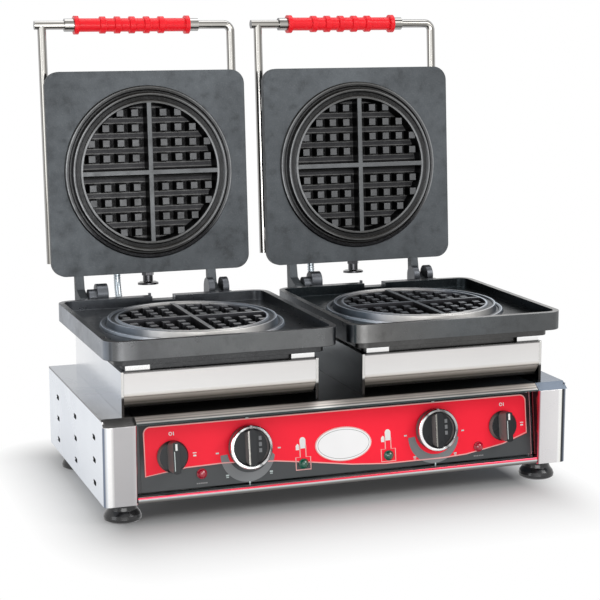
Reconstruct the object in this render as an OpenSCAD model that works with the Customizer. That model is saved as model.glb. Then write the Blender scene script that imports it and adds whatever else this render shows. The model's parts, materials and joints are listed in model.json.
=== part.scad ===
// Double countertop waffle baker: two round waffle units with hinged lids on one stainless base.
// X runs across the front, +Y to the back, +Z up. The lids are drawn standing open.

/* [Base] */
// Width of the base over its two cheeks
base_w = 570; // [540:1:660]
// Depth of the base
base_d = 300; // [292:1:360]
// Height of the housing without its feet
base_h = 98; // [90:1:120]
// Thickness of the stainless sheet
sheet_t = 1.5; // [1:0.1:2]
// Width of each cheek's front flange
flange_w = 38; // [34:0.5:44]
// Radius of the cheeks' upright front corners
corner_r = 6; // [4:0.5:10]
// Depth of the sloping visor along the top front edge
visor_run = 12; // [8:0.5:16]
// Drop of the sloping visor
visor_drop = 6; // [4:0.5:9]
// Height of the rail below the control panel
rail_h = 7.5; // [5:0.5:10]
// Outside radius of the folds round the control recess
fold_r = 3; // [2:0.5:4]
// Length of one pressed vent slot in the cheeks
vent_len = 15; // [8:0.5:24]
// Height of one vent slot
vent_h = 6; // [3:0.5:8]
// Spacing of the vents from front to back
vent_pitch_y = 100; // [60:1:110]
// Spacing of the vents from bottom to top
vent_pitch_z = 26.5; // [20:0.5:28]
// Height of the lowest vent above the housing's bottom
vent_z = 16.5; // [12:0.5:20]
// Distance of the first vent from the front
vent_y = 48; // [30:1:60]

/* [Feet] */
// Height of a foot
foot_h = 22; // [16:0.5:30]
// Widest radius of a foot
foot_r = 21.5; // [17:0.5:24]
// Distance of each foot's centre from the base's side, front and, at the back, from its rear
foot_inset = 26; // [23:0.5:34]
// Distance of the rear feet from the base's rear edge
foot_rear_inset = 46; // [26:1:70]
// Radius of the bolt that holds a foot
foot_bolt_r = 4; // [3:0.1:5]

/* [Control panel] */
// Backward tilt of the panel in degrees
panel_tilt = 8; // [4:0.5:14]
// How far the panel's lower edge lies behind the front
panel_setback = 11.5; // [8:0.5:16]
// Width of the printed label
label_w = 475; // [440:1:480]
// Thickness of the printed label
label_t = 0.5; // [0.3:0.1:1]
// How far the label and its controls sit to the right of the base's middle
label_shift = 2; // [-3:0.5:4]
// Distance of the switches from the label's middle
switch_x = 205; // [195:0.5:210]
// Distance of the thermostats from the label's middle
thermostat_x = 115.5; // [100:0.5:125]
// Distance of the red lamps from the label's middle
red_lamp_x = 172; // [160:0.5:175]
// Half the distance between the two green lamps
green_lamp_x = 53; // [48:0.5:60]
// How far both green lamps sit to the right of the label's middle
green_lamp_shift = 3; // [-4:0.5:5]
// Radius of a red lamp's lens
red_lamp_r = 5; // [4:0.25:7]
// Radius of a green lamp's lens
green_lamp_r = 5; // [4:0.25:7]
// Height up the slope of the switches' axes
switch_s = 38.5; // [32:0.5:44]
// Height up the slope of the thermostats' axes
thermostat_s = 42; // [36:0.5:46]
// Height up the slope of the lamps
lamp_s = 16; // [10:0.5:18]
// Width of the blank oval badge
badge_w = 70; // [50:1:80]
// Height of the blank oval badge
badge_h = 40; // [30:1:44]

/* [Knobs] */
// Radius of a thermostat knob's bright ring
dial_r = 25; // [21:0.5:27]
// Height of a thermostat knob's skirt
dial_h = 11; // [8:0.5:14]
// Width of the bright ring
dial_ring_w = 3.7; // [2:0.1:5]
// Height of the grip bar above the skirt of a thermostat knob
dial_grip_h = 6; // [3:0.5:9]
// Radius of a switch knob's disc
switch_r = 18; // [15:0.5:20]
// Height of a switch knob's grip above its disc
switch_grip_h = 14; // [8:0.5:17]
// Radius of the spindles that the knobs turn on
spindle_r = 3; // [2.5:0.1:3.5]
// Radial clearance of a running fit
running_gap = 0.05; // [0.02:0.01:0.09]

/* [Waffle units] */
// Gap between the two trays
tray_gap = 14.4; // [6:0.2:28]
// Distance of the trays' back rims from the base's rear edge
tray_rear = 26; // [22:0.5:32]
// Side of the square tray round a lower plate
tray_w = 272; // [266:1:276]
// Corner radius of the tray
tray_r = 19; // [14:0.5:24]
// Height of the tray's wall
tray_h = 21.5; // [19:0.5:26]
// Thickness of the tray's wall
tray_wall = 7; // [5:0.5:9]
// Depth of the tray's floor below its rim
tray_depth = 12; // [8:0.5:13]
// Height of the narrower step below the tray
step_h = 8.5; // [6:0.5:12]
// Gap between a heater box and the step above it
tab_h = 8; // [6:0.5:10]
// Width of one heater box
box_w = 232; // [228:1:240]
// Depth of one heater box
box_d = 236; // [228:1:244]
// Height of one heater box
box_h = 49; // [44:0.5:60]
// Height of a heater box's bright front
box_front_h = 28; // [22:0.5:32]
// Thickness of the heater boxes' sheet
box_t = 1.2; // [0.8:0.1:2]

/* [Waffle pattern] */
// Inside radius of the round baking hollow
waffle_r = 88; // [86:0.5:92]
// Height of the round turret above the plate
turret_h = 10; // [8:0.5:12]
// Radius of the turret's foot
turret_r = 110; // [107:0.5:114]
// Width of the turret's foot that rests on the plate round its hole
turret_seat = 5; // [3:0.5:8]
// Depth of the baking hollow below the turret's top
waffle_depth = 16.5; // [12:0.5:18]
// Spacing of the waffle pegs
peg_pitch = 19; // [18:0.25:20]
// Depth of the grooves between the rings on a turret
ring_groove = 1.8; // [1:0.1:2.4]
// Width of a peg's top
peg_top = 8.6; // [6:0.2:10]
// Width of a peg's foot
peg_foot = 12; // [10.5:0.25:14]
// How far the pegs stay below the turret's top
peg_drop = 1.5; // [0.5:0.25:3]
// Width of the cross bars that quarter a waffle
bar_top = 5.6; // [4:0.2:8]
// Gap left between the two closed plates
closed_gap = 0.6; // [0.3:0.1:1.5]

/* [Lids] */
// Width of a lid plate
lid_w = 260; // [256:1:266]
// Length of a lid plate from hinge edge to front edge
lid_d = 257; // [252:1:262]
// Corner radius of a lid plate
lid_r = 18; // [12:0.5:24]
// Thickness of a lid plate
lid_t = 10; // [8:0.5:14]
// Angle that the lids stand open, in degrees
open_angle = 94.3; // [85:0.1:100]
// Distance of the hinge axis behind the tray
hinge_back = 25.8; // [23:0.2:28]
// Distance of the hinge axis below the meeting plane of the plates
hinge_drop = 8.2; // [6:0.2:9]
// Radius of the hinge pins
pin_r = 4; // [3:0.1:5]
// Width of a lid's cover
cover_w = 224; // [200:1:228]
// Length of a lid's cover
cover_d = 234; // [210:1:238]
// Height of a lid's cover
cover_h = 37; // [32:0.5:42]
// Radius of a heater conduit
conduit_r = 4.5; // [3.5:0.25:6]

/* [Handles] */
// Radius of the handle rod
rod_r = 5.5; // [4:0.25:5.75]
// Distance of the handle's legs from the lid's middle
leg_x = 124.3; // [123:0.1:128]
// Distance of the handle's bar beyond the lid's hinge edge
bar_reach = 316.5; // [300:0.5:330]
// Distance of the handle behind the plate's face
handle_back = 34.7; // [30:0.1:38]
// Length of the grip between its collars
grip_len = 151; // [120:1:160]
// How far the grip sits to the left of the lid's middle
grip_shift = 8; // [0:0.5:12]
// Radius of the grip between its ribs
grip_r = 8.6; // [7.5:0.1:10]
// Radius of the grip's ribs
grip_rib_r = 10.9; // [9.5:0.1:12]
// Radius of the grip's end flanges
grip_flange_r = 11.8; // [11:0.1:14]
// Length of one chrome collar
collar_len = 12; // [6:0.5:16]
// Radius of a chrome collar
collar_r = 8.2; // [7:0.1:9]

/* [Hidden] */
$fn = 48;

// Small overlap that lets cuts run clean through a face
cut = 1;
// Gap between flat or curved faces of pieces that only pass each other
free_gap = 0.3;

// Base levels and lines
base_z0 = foot_h;
base_z1 = foot_h + base_h;
side_x = base_w / 2;
open_x = side_x - flange_w;
visor_z = base_z1 - visor_drop;
soffit_z = visor_z - sheet_t;
rail_z = base_z0 + sheet_t + rail_h;
rail_fold = min(fold_r, rail_h - sheet_t);
panel_z0 = rail_z + 0.5;
panel_len = (soffit_z - panel_z0) / cos(panel_tilt);
panel_half = open_x - sheet_t - 0.5;
panel_top_y = panel_setback + panel_len * sin(panel_tilt);
label_t_gap = 0.02;
label_s1 = 74;
label_s0 = 6;
badge_s = 34.5;
dial_lift = 1.2;
dial_top = dial_lift + dial_h;
thermostat_body = [44, 26];
switch_body = [34, 30];
slot_w = 6;
slot_len = 40;

rear_flange_w = 14;
screw_r = 1.4;
screw_len = 4;
bush_r = 5;
gland_x = -side_x + 85;
gland_z = base_z0 + 30;
gland_r = 9;
cord_r = 4.2;

// Unit levels, from the base's top upwards
unit_x = (tray_w + tray_gap) / 2;
tray_back = base_d - tray_rear;
unit_y = tray_back - tray_w / 2;
box_z1 = base_z1 + box_h;
step_z0 = box_z1 + tab_h;
tray_z0 = step_z0 + step_h;
rim_z = tray_z0 + tray_h;
floor_z = rim_z - tray_depth;
meet_z = floor_z + turret_h;
box_x = box_w / 2;
box_y0 = unit_y - box_d / 2;
box_y1 = unit_y + box_d / 2;
box_flange = 12;
return_w = 3;
band_run = 11;
band_drop = 14.5;
step_w = tray_w - 26;
skirt_inset = 6;
skirt_w = box_w - 8;
skirt_d = box_d - 2 * skirt_inset;
pad_r = waffle_r + 6;
plug_r = turret_r - turret_seat;
pad_t = 6;
element_r = 4.2;
element_ring_r = 68;
notch_w = 30;
notch_h = 5;
tab_d = skirt_inset - 0.5;

// Lid levels, drawn closed and then swung open about the hinge
face_z = meet_z + turret_h;
lid_y1 = unit_y + lid_d / 2;
lid_z1 = face_z + lid_t;
hinge_y = tray_back + hinge_back;
hinge_z = meet_z - hinge_drop;
cover_y0 = unit_y - cover_d / 2 + 3;
cover_y1 = cover_y0 + cover_d;
cover_z1 = lid_z1 + cover_h;
bar_y = lid_y1 - bar_reach;
bar_z = face_z + handle_back;
bend_r = 9;
leg_end_y = lid_y1 - 15;
stud_z = face_z + 27;
conduit_z = face_z + 18;
conduit_y = base_d - 12;
conduit_side = [-43, -64];

// Hinge pieces across the unit: two ears' blocks, the lugs between them
lug_t = 10.5;
lug_r = 9.5;
left_lug_x = -95.5;
right_lug_x = 78.8;
ear_top_r = 12.5;

// The open lids reach furthest back at their grips
rear_reach = open_y(bar_y, bar_z) + grip_flange_r;
origin_y = rear_reach / 2;

function open_y(y, z) = hinge_y + (y - hinge_y) * cos(open_angle) + (z - hinge_z) * sin(open_angle);
function open_z(y, z) = hinge_z - (y - hinge_y) * sin(open_angle) + (z - hinge_z) * cos(open_angle);

// ---------- placing ----------

// The model's origin lies on the floor in the middle of its bounding box
module at_origin() {
    translate([0, -origin_y, 0]) children();
}

module at_unit(side) {
    at_origin() translate([side * unit_x, 0, 0]) children();
}

// Swings a piece that is drawn on the closed lid to its open place
module at_lid(side) {
    at_unit(side)
        translate([0, hinge_y, hinge_z])
            rotate([-open_angle, 0, 0])
                translate([0, -hinge_y, -hinge_z])
                    children();
}

// Local X runs along the panel, Y up its slope and Z straight out of it
module on_panel(x, s) {
    translate([x, panel_setback + s * sin(panel_tilt), panel_z0 + s * cos(panel_tilt)])
        rotate([90 - panel_tilt, 0, 0])
            children();
}

// The same for the label and its controls
module on_label(x, s) {
    on_panel(x + label_shift, s) children();
}

// ---------- shared shapes ----------

// Rounded rectangle made of straight squares and true arcs
module rounded_square(w, d, r) {
    square([w - 2 * r, d], center = true);
    square([w, d - 2 * r], center = true);
    for (x = [-1, 1], y = [-1, 1]) {
        translate([x * (w / 2 - r), y * (d / 2 - r)]) circle(r);
    }
}

module rounded_block(w, d, h, r) {
    linear_extrude(h) rounded_square(w, d, r);
}

// Extrudes a profile drawn in Y and Z along X, from x0 to x1
module along_x(x0, x1) {
    translate([x0, 0, 0])
        rotate([90, 0, 90])
            linear_extrude(x1 - x0)
                children();
}

// Square peg with sloping sides
module peg(foot, top, h) {
    f = foot / 2;
    t = top / 2;
    polyhedron(
        points = [
            [-f, -f, 0], [f, -f, 0], [f, f, 0], [-f, f, 0],
            [-t, -t, h], [t, -t, h], [t, t, h], [-t, t, h]
        ],
        faces = [[0, 1, 2, 3], [4, 7, 6, 5], [0, 4, 5, 1], [1, 5, 6, 2], [2, 6, 7, 3], [3, 7, 4, 0]]
    );
}

// Waffle face that looks up, with its meeting plane at z = 0
module waffle_pegs() {
    sink = 0.5;
    for (sx = [-1, 1], sy = [-1, 1], i = [1:4], j = [1:4]) {
        x = i * peg_pitch - 0.5;
        y = j * peg_pitch - 0.5;
        if (norm([x, y]) < waffle_r - 1.5) {
            translate([sx * x, sy * y, -waffle_depth - sink])
                peg(peg_foot, peg_top, waffle_depth + sink - peg_drop);
        }
    }
}

module waffle_bars() {
    sink = 0.5;
    top = bar_top / 2;
    foot = top + 1.5;
    for (turn = [0, 90]) {
        rotate([0, 0, turn])
            along_x(-waffle_r - 1, waffle_r + 1)
                polygon([
                    [-foot, -waffle_depth - sink], [foot, -waffle_depth - sink],
                    [top, 0], [-top, 0]
                ]);
    }
}

// Section of a baking disc: two rings on the turret, its low outer ring, the plug through a plate
// of that thickness and the heater pad
module mould_section(plate_t) {
    seat = closed_gap / 2 - turret_h;
    plug = seat - plate_t;
    low = 3.5 - turret_h;
    ring = (turret_r - waffle_r) / 8;
    polygon([
        [0, plug - pad_t], [pad_r, plug - pad_t], [pad_r, plug], [plug_r, plug], [plug_r, seat],
        [turret_r, seat], [waffle_r + 7.5 * ring, low], [waffle_r + 6.1 * ring, low],
        [waffle_r + 5.7 * ring, low - ring_groove], [waffle_r + 4.9 * ring, low - ring_groove],
        [waffle_r + 4.4 * ring, 0], [waffle_r + 3.4 * ring, 0],
        [waffle_r + 3 * ring, -ring_groove], [waffle_r + 1.4 * ring, -ring_groove],
        [waffle_r + ring, 0], [0, 0]
    ]);
}

// The hollow inside the rings
module waffle_hollow() {
    rotate_extrude($fn = 96)
        polygon([
            [0, -waffle_depth], [waffle_r - 3, -waffle_depth], [waffle_r, 0], [waffle_r, cut], [0, cut]
        ]);
}

// Baking disc with its pegs and cross bars; its rim lies at z = 0 and the pegs look along +Z
module baking_disc(plate_t) {
    difference() {
        rotate_extrude($fn = 96) mould_section(plate_t);
        waffle_hollow();
    }
    waffle_pegs();
    intersection() {
        waffle_bars();
        translate([0, 0, -waffle_depth - 1]) cylinder(r = waffle_r + 0.8, h = waffle_depth + 1 + cut);
    }
}

// Pan-head screw that looks along +Z, its head seated at z = 0
module screw(head_r, head_h) {
    difference() {
        cylinder(r = head_r, h = head_h);
        translate([-head_r * 0.6, -0.4, head_h - 0.6]) cube([head_r * 1.2, 0.8, 1]);
        translate([-0.4, -head_r * 0.6, head_h - 0.6]) cube([0.8, head_r * 1.2, 1]);
    }
    translate([0, 0, -screw_len]) cylinder(r = screw_r, h = screw_len + 0.2, $fn = 24);
}

// Hole for a screw through a sheet whose outer face is at z = 0
module screw_hole() {
    translate([0, 0, -screw_len - cut])
        cylinder(r = screw_r + running_gap, h = screw_len + 2 * cut, $fn = 24);
}

// ---------- base ----------

// Left cheek: side, rounded front corner, flanges and the wall beside the panel
module cheek() {
    difference() {
        union() {
            // side sheet behind the rounded corner
            translate([-side_x, corner_r, base_z0])
                cube([sheet_t, base_d - corner_r, base_h - sheet_t]);
            // upright corner and front flange
            translate([-side_x + corner_r, corner_r, base_z0])
                rotate([0, 0, 180])
                    rotate_extrude(angle = 90)
                        translate([corner_r - sheet_t, 0])
                            square([sheet_t, soffit_z - base_z0]);
            translate([-side_x + corner_r, 0, base_z0])
                cube([flange_w - corner_r - fold_r, sheet_t, soffit_z - base_z0]);
            // fold at the recess and the wall beside the panel
            translate([-open_x - fold_r, fold_r, base_z0])
                rotate_extrude(angle = 90, start = 270)
                    translate([fold_r - sheet_t, 0])
                        square([sheet_t, soffit_z - base_z0]);
            along_x(-open_x - sheet_t, -open_x)
                polygon([
                    [fold_r, base_z0], [fold_r, soffit_z], [panel_top_y, soffit_z],
                    [panel_setback, rail_z], [panel_setback, base_z0]
                ]);
            // top flange with its share of the visor
            along_x(-side_x, -open_x) visor_profile(base_d);
            // bottom and rear flanges
            translate([-side_x, corner_r, base_z0])
                cube([flange_w, base_d - corner_r, sheet_t]);
            translate([-side_x, base_d - sheet_t, base_z0])
                cube([rear_flange_w, sheet_t, base_h - sheet_t]);
        }
        rear_screw_places() screw_hole();
        // pressed vents
        for (i = [0:2], j = [0:2]) {
            translate([-side_x - cut, vent_y + i * vent_pitch_y, base_z0 + vent_z + j * vent_pitch_z])
                rotate([0, 90, 0])
                    linear_extrude(sheet_t + 2 * cut)
                        vent_slot();
        }
        // holes for the foot bolts
        for (y = [foot_inset, base_d - foot_rear_inset]) {
            translate([-side_x + foot_inset, y, base_z0 - cut])
                cylinder(r = foot_bolt_r + free_gap, h = sheet_t + 2 * cut);
        }
    }
}

// Slot with round ends, its length along Y
module vent_slot() {
    square([vent_h, vent_len - vent_h], center = true);
    for (y = [-1, 1]) {
        translate([0, y * (vent_len - vent_h) / 2]) circle(vent_h / 2);
    }
}

// Long slot that cuts through a sheet lying below its face
module long_slot() {
    rounded_block(slot_w, slot_len, sheet_t + 2 * cut, slot_w / 2 - 0.1);
}

// Places of the screws in the left cheek's rear flange, with Z out of the flange
module rear_screw_places() {
    for (z = [base_z0 + 14, base_z1 - 14]) {
        translate([-side_x + rear_flange_w / 2, base_d, z]) rotate([-90, 0, 0]) children();
    }
}

// Section of the folded top sheet: top, sloping visor and the underside fold
module visor_profile(depth) {
    lip = 0.6;
    polygon([
        [depth, base_z1], [visor_run, base_z1], [lip, soffit_z],
        [panel_top_y, soffit_z], [panel_top_y, visor_z], [lip + visor_run / 2, visor_z],
        [visor_run + 1, base_z1 - sheet_t], [depth, base_z1 - sheet_t]
    ]);
}

module left_cheek() {
    color("gainsboro") at_origin() cheek();
}

module right_cheek() {
    color("gainsboro") at_origin() mirror([1, 0, 0]) cheek();
}

module top_cover() {
    color("silver") at_origin() {
        difference() {
            along_x(-open_x + free_gap, open_x - free_gap) visor_profile(base_d);
            for (side = [-1, 1]) {
                translate([
                    side * unit_x + conduit_side[(side + 1) / 2], conduit_y, base_z1 - sheet_t - cut
                ])
                    cylinder(r = conduit_r + 2, h = sheet_t + 2 * cut);
            }
        }
    }
}

module bottom_plate() {
    bottom_y0 = panel_setback + free_gap;
    color("darkgray") at_origin() difference() {
        translate([-side_x + sheet_t + free_gap, bottom_y0, base_z0 + sheet_t])
            cube([base_w - 2 * sheet_t - 2 * free_gap, base_d - bottom_y0 - 2 * sheet_t, sheet_t]);
        for (x = [-1, 1], y = [foot_inset, base_d - foot_rear_inset]) {
            translate([x * (side_x - foot_inset), y, base_z0])
                cylinder(r = foot_bolt_r + free_gap, h = 2 * sheet_t + cut);
        }
        for (x = [-4:4], y = [0, 1]) {
            translate([x * 40, base_d / 2 + y * 60, base_z0 + sheet_t - cut])
                long_slot();
        }
    }
}

module rear_panel() {
    edge = rear_flange_w + free_gap;
    color("silver") at_origin() difference() {
        translate([-side_x + edge, base_d - sheet_t, base_z0 + sheet_t + free_gap])
            cube([base_w - 2 * edge, sheet_t, base_h - 2 * sheet_t - 2 * free_gap]);
        translate([gland_x, base_d - sheet_t - cut, gland_z])
            rotate([-90, 0, 0])
                cylinder(r = gland_r, h = sheet_t + 2 * cut);
        for (side = [-1, 1], i = [-4:4]) {
            translate([side * unit_x + i * 16, base_d + cut, base_z0 + 58])
                rotate([90, 0, 0])
                    long_slot();
        }
    }
}

module front_rail() {
    color("gainsboro") at_origin()
        along_x(-open_x + free_gap, open_x - free_gap)
            rail_section();
}

// Folded rail: foot, front, the rounded fold and the shelf up to the panel
module rail_section() {
    rail_z0 = base_z0 + sheet_t;
    fold_z = rail_z - rail_fold;
    translate([0, rail_z0]) square([panel_setback, sheet_t]);
    translate([0, rail_z0]) square([sheet_t, fold_z - rail_z0]);
    translate([rail_fold, rail_z - sheet_t]) square([panel_setback - rail_fold, sheet_t]);
    intersection() {
        translate([rail_fold, fold_z]) difference() {
            circle(rail_fold);
            circle(rail_fold - sheet_t);
        }
        translate([0, fold_z]) square([rail_fold, rail_fold]);
    }
}

module control_panel() {
    color("dimgray") at_origin() difference() {
        on_panel(0, panel_len / 2)
            translate([-panel_half, -panel_len / 2 + 0.3, -sheet_t])
                cube([2 * panel_half, panel_len - 1.2, sheet_t]);
        panel_holes(cut + sheet_t, cut);
    }
}

// Holes for bushes and lamps, from below the panel's face to above it
module panel_holes(below, above) {
    for (side = [-1, 1]) {
        on_label(side * thermostat_x, thermostat_s)
            translate([0, 0, -below]) cylinder(r = bush_r + free_gap, h = below + above);
        on_label(side * switch_x, switch_s)
            translate([0, 0, -below]) cylinder(r = bush_r + free_gap, h = below + above);
        on_label(side * red_lamp_x, lamp_s)
            translate([0, 0, -below]) cylinder(r = red_lamp_r - 1 + free_gap, h = below + above);
        on_label(green_lamp_shift + side * green_lamp_x, lamp_s)
            translate([0, 0, -below]) cylinder(r = green_lamp_r - 1 + free_gap, h = below + above);
    }
}

// Printed label: rounded top corners and a lower edge that waves across
module panel_label() {
    color("crimson") at_origin() difference() {
        on_label(0, 0) translate([0, 0, label_t_gap])
            linear_extrude(label_t) label_outline();
        panel_holes(cut, label_t + cut);
    }
}

module label_outline() {
    half = label_w / 2;
    r = 8;
    difference() {
        union() {
            translate([-half, label_s0]) square([label_w, label_s1 - label_s0 - r]);
            translate([-half + r, label_s0]) square([label_w - 2 * r, label_s1 - label_s0]);
            for (x = [-1, 1]) {
                translate([x * (half - r), label_s1 - r]) circle(r);
            }
        }
        // the lower edge
        polygon([
            [-half - cut, label_s0 - cut], [-half - cut, 17.5], [-190, 23.7], [-145, 24.9],
            [-115, 23.6], [-83, 21.4], [-40, 16], [10, 9], [65, label_s0 - cut]
        ]);
        polygon([
            [110, label_s0 - cut], [156, 7.7], [205, 16], [half + cut, 27], [half + cut, label_s0 - cut]
        ]);
    }
}

module badge() {
    color("white") at_origin()
        on_label(0, badge_s)
            translate([0, 0, label_t + 2 * label_t_gap])
                linear_extrude(1)
                    badge_outline();
}

// Ellipse
module badge_outline() {
    polygon([for (a = [0:7.5:352.5]) [badge_w / 2 * cos(a), badge_h / 2 * sin(a)]]);
}

module rubber_feet() {
    color("black") at_origin() each_foot() difference() {
        rotate_extrude()
            polygon([
                [0, 0], [foot_r - 2.5, 0], [foot_r - 0.4, 1.6], [foot_r, 4.5], [foot_r - 1.2, 8],
                [foot_r - 5, foot_h - 9], [foot_r - 6, foot_h - 5], [foot_r - 5.5, foot_h], [0, foot_h]
            ]);
        translate([0, 0, foot_h - 12]) cylinder(r = foot_bolt_r, h = 12 + cut);
    }
}

module each_foot() {
    for (x = [-1, 1], y = [foot_inset, base_d - foot_rear_inset]) {
        translate([x * (side_x - foot_inset), y, 0])
            children();
    }
}

module foot_bolts() {
    color("silver") at_origin() each_foot() {
        translate([0, 0, foot_h - 11]) cylinder(r = foot_bolt_r, h = 11 + 2 * sheet_t + 6);
        translate([0, 0, foot_h + 2 * sheet_t]) cylinder(r = 7.5, h = 4, $fn = 6);
    }
}

// Empty gland for the mains lead, screwed into the rear panel
module cable_gland() {
    color("black") at_origin()
        translate([gland_x, base_d, gland_z])
            rotate([-90, 0, 0])
                difference() {
                    union() {
                        cylinder(r = gland_r + 4, h = 5, $fn = 6);
                        translate([0, 0, 5]) cylinder(r1 = gland_r + 1, r2 = gland_r - 2, h = 9, $fn = 48);
                        translate([0, 0, -sheet_t - 8]) cylinder(r = gland_r - 0.1, h = sheet_t + 9);
                        translate([0, 0, -sheet_t - 5]) cylinder(r = gland_r + 4, h = 5, $fn = 6);
                    }
                    translate([0, 0, -sheet_t - 8 - cut])
                        cylinder(r = cord_r, h = sheet_t + 22 + 2 * cut);
                }
}

module terminal_block() {
    color("ivory") at_origin()
        translate([gland_x + 30, base_d - 70, base_z0 + 2 * sheet_t])
            difference() {
                cube([64, 22, 20]);
                for (i = [0:4]) {
                    translate([8 + i * 12, 11, 8]) cylinder(r = 3, h = 12 + cut);
                }
            }
}

// ---------- controls ----------

module thermostats() {
    color("silver") at_origin() for (side = [-1, 1]) {
        on_label(side * thermostat_x, thermostat_s) control_body(thermostat_body);
    }
}

module rotary_switches() {
    color("dimgray") at_origin() for (side = [-1, 1]) {
        on_label(side * switch_x, switch_s) control_body(switch_body);
    }
}

// Body behind the panel with a bush through it, bored for the spindle
module control_body(body) {
    size = body[0];
    depth = body[1];
    difference() {
        union() {
            translate([-size / 2, -size / 2, -sheet_t - depth]) cube([size, size, depth]);
            translate([0, 0, -sheet_t - cut]) cylinder(r = bush_r, h = sheet_t + cut + label_t);
        }
        translate([0, 0, -sheet_t - 20]) cylinder(r = spindle_r + running_gap, h = 40);
    }
}

module left_thermostat_knob() {
    color("black") at_origin() on_label(-thermostat_x, thermostat_s) dial_knob();
}

module right_thermostat_knob() {
    color("black") at_origin() on_label(thermostat_x, thermostat_s) dial_knob();
}

// Skirt with a sunk face and a grip bar across it, on its spindle
module dial_knob() {
    face_r = dial_r - dial_ring_w;
    rotate_extrude($fn = 72)
        polygon([
            [0, dial_lift], [dial_r - 2, dial_lift], [dial_r - 0.8, dial_lift + 1.5],
            [dial_r - 1.6, dial_top], [face_r - 0.5, dial_top], [face_r - 1.5, dial_top - 2],
            [0, dial_top - 2]
        ]);
    grip_bar(13, 9, 2 * face_r - 1, dial_top - 2 - cut, dial_top + dial_grip_h);
    translate([0, 0, -sheet_t - 18]) cylinder(r = spindle_r, h = sheet_t + 18 + dial_lift + cut);
}

// Upright bar with round ends and sloping flanks, drawn along Y from z0 to z1
module grip_bar(w, top_w, len, z0, z1) {
    intersection() {
        translate([0, 0, z0]) linear_extrude(z1 - z0) {
            square([w, len - w], center = true);
            for (y = [-1, 1]) {
                translate([0, y * (len - w) / 2]) circle(w / 2);
            }
        }
        translate([0, len / 2 + cut, 0])
            rotate([90, 0, 0])
                linear_extrude(len + 2 * cut)
                    polygon([
                        [-w / 2 - 0.3, z0 - cut], [w / 2 + 0.3, z0 - cut],
                        [top_w / 2, z1 + cut], [-top_w / 2, z1 + cut]
                    ]);
    }
}

module left_knob_ring() {
    color("white") at_origin() on_label(-thermostat_x, thermostat_s) knob_ring();
}

module right_knob_ring() {
    color("white") at_origin() on_label(thermostat_x, thermostat_s) knob_ring();
}

// Bright ring on the skirt's rim, notched at its top
module knob_ring() {
    difference() {
        rotate_extrude($fn = 72)
            polygon([
                [dial_r - dial_ring_w, dial_top], [dial_r, dial_top], [dial_r, dial_top + 2.4],
                [dial_r - 1, dial_top + 3.6], [dial_r - dial_ring_w + 0.6, dial_top + 3.6],
                [dial_r - dial_ring_w, dial_top + 3]
            ]);
        translate([-1.5, dial_r - dial_ring_w - 1, dial_top + 1.4]) cube([3, dial_ring_w + 2, 4]);
    }
}

module left_switch_knob() {
    color("black") at_origin() on_label(-switch_x, switch_s) switch_knob();
}

module right_switch_knob() {
    color("black") at_origin() on_label(switch_x, switch_s) switch_knob();
}

module switch_knob() {
    disc_h = 5;
    difference() {
        union() {
            rotate_extrude($fn = 64)
                polygon([
                    [0, dial_lift], [switch_r, dial_lift], [switch_r, dial_lift + 2],
                    [switch_r - 2, dial_lift + disc_h], [0, dial_lift + disc_h]
                ]);
            grip_bar(14, 8, 2 * switch_r, dial_lift + disc_h - cut, dial_lift + disc_h + switch_grip_h);
        }
        // groove for the pointer mark
        translate([-1, switch_r - 9, dial_lift + disc_h + switch_grip_h - 0.6]) cube([2, 8, 2]);
    }
    translate([0, 0, -sheet_t - 18]) cylinder(r = spindle_r, h = sheet_t + 18 + dial_lift + cut);
}

module lamp(lens_r) {
    rotate_extrude()
        polygon([
            [0, -sheet_t - 14], [lens_r - 1, -sheet_t - 14], [lens_r - 1, label_t + label_t_gap],
            [lens_r + 1, label_t + label_t_gap], [lens_r + 1, label_t + 1.4], [lens_r, label_t + 2.2],
            [lens_r * 0.7, label_t + 4], [lens_r * 0.35, label_t + 4.8], [0, label_t + 5]
        ]);
}

module red_lamps() {
    color("red") at_origin() for (side = [-1, 1]) {
        on_label(side * red_lamp_x, lamp_s) lamp(red_lamp_r);
    }
}

module green_lamps() {
    color("green") at_origin() for (side = [-1, 1]) {
        on_label(green_lamp_shift + side * green_lamp_x, lamp_s) lamp(green_lamp_r);
    }
}

module base_screws() {
    color("silver") at_origin() {
        for (side = [0, 1]) {
            mirror([side, 0, 0]) rear_screw_places() screw(3.5, 1.6);
        }
    }
}

// ---------- heater boxes ----------

// Sides, rear and top flanges of one heater box, open at its front and bottom
module heater_box() {
    for (side = [-1, 1]) {
        mirror([side > 0 ? 1 : 0, 0, 0]) {
            translate([-box_x, box_y0, base_z1]) cube([box_t, box_d, box_h]);
            translate([-box_x, box_y0 + box_t + free_gap, box_z1 - box_t])
                cube([box_flange, box_d - box_t - free_gap, box_t]);
            translate([-box_x, box_y0, base_z1]) cube([return_w, box_t, box_h]);
        }
    }
    translate([-box_x, box_y1 - box_t, base_z1]) cube([box_w, box_t, box_h]);
    translate([-box_x, box_y1 - box_flange, box_z1 - box_t]) cube([box_w, box_flange, box_t]);
    translate([-box_x, box_y0 + 60, base_z1]) cube([box_w, box_d - 60, box_t]);
}

module left_heater_box() {
    color("gainsboro") at_unit(-1) heater_box();
}

module right_heater_box() {
    color("gainsboro") at_unit(1) heater_box();
}

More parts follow.
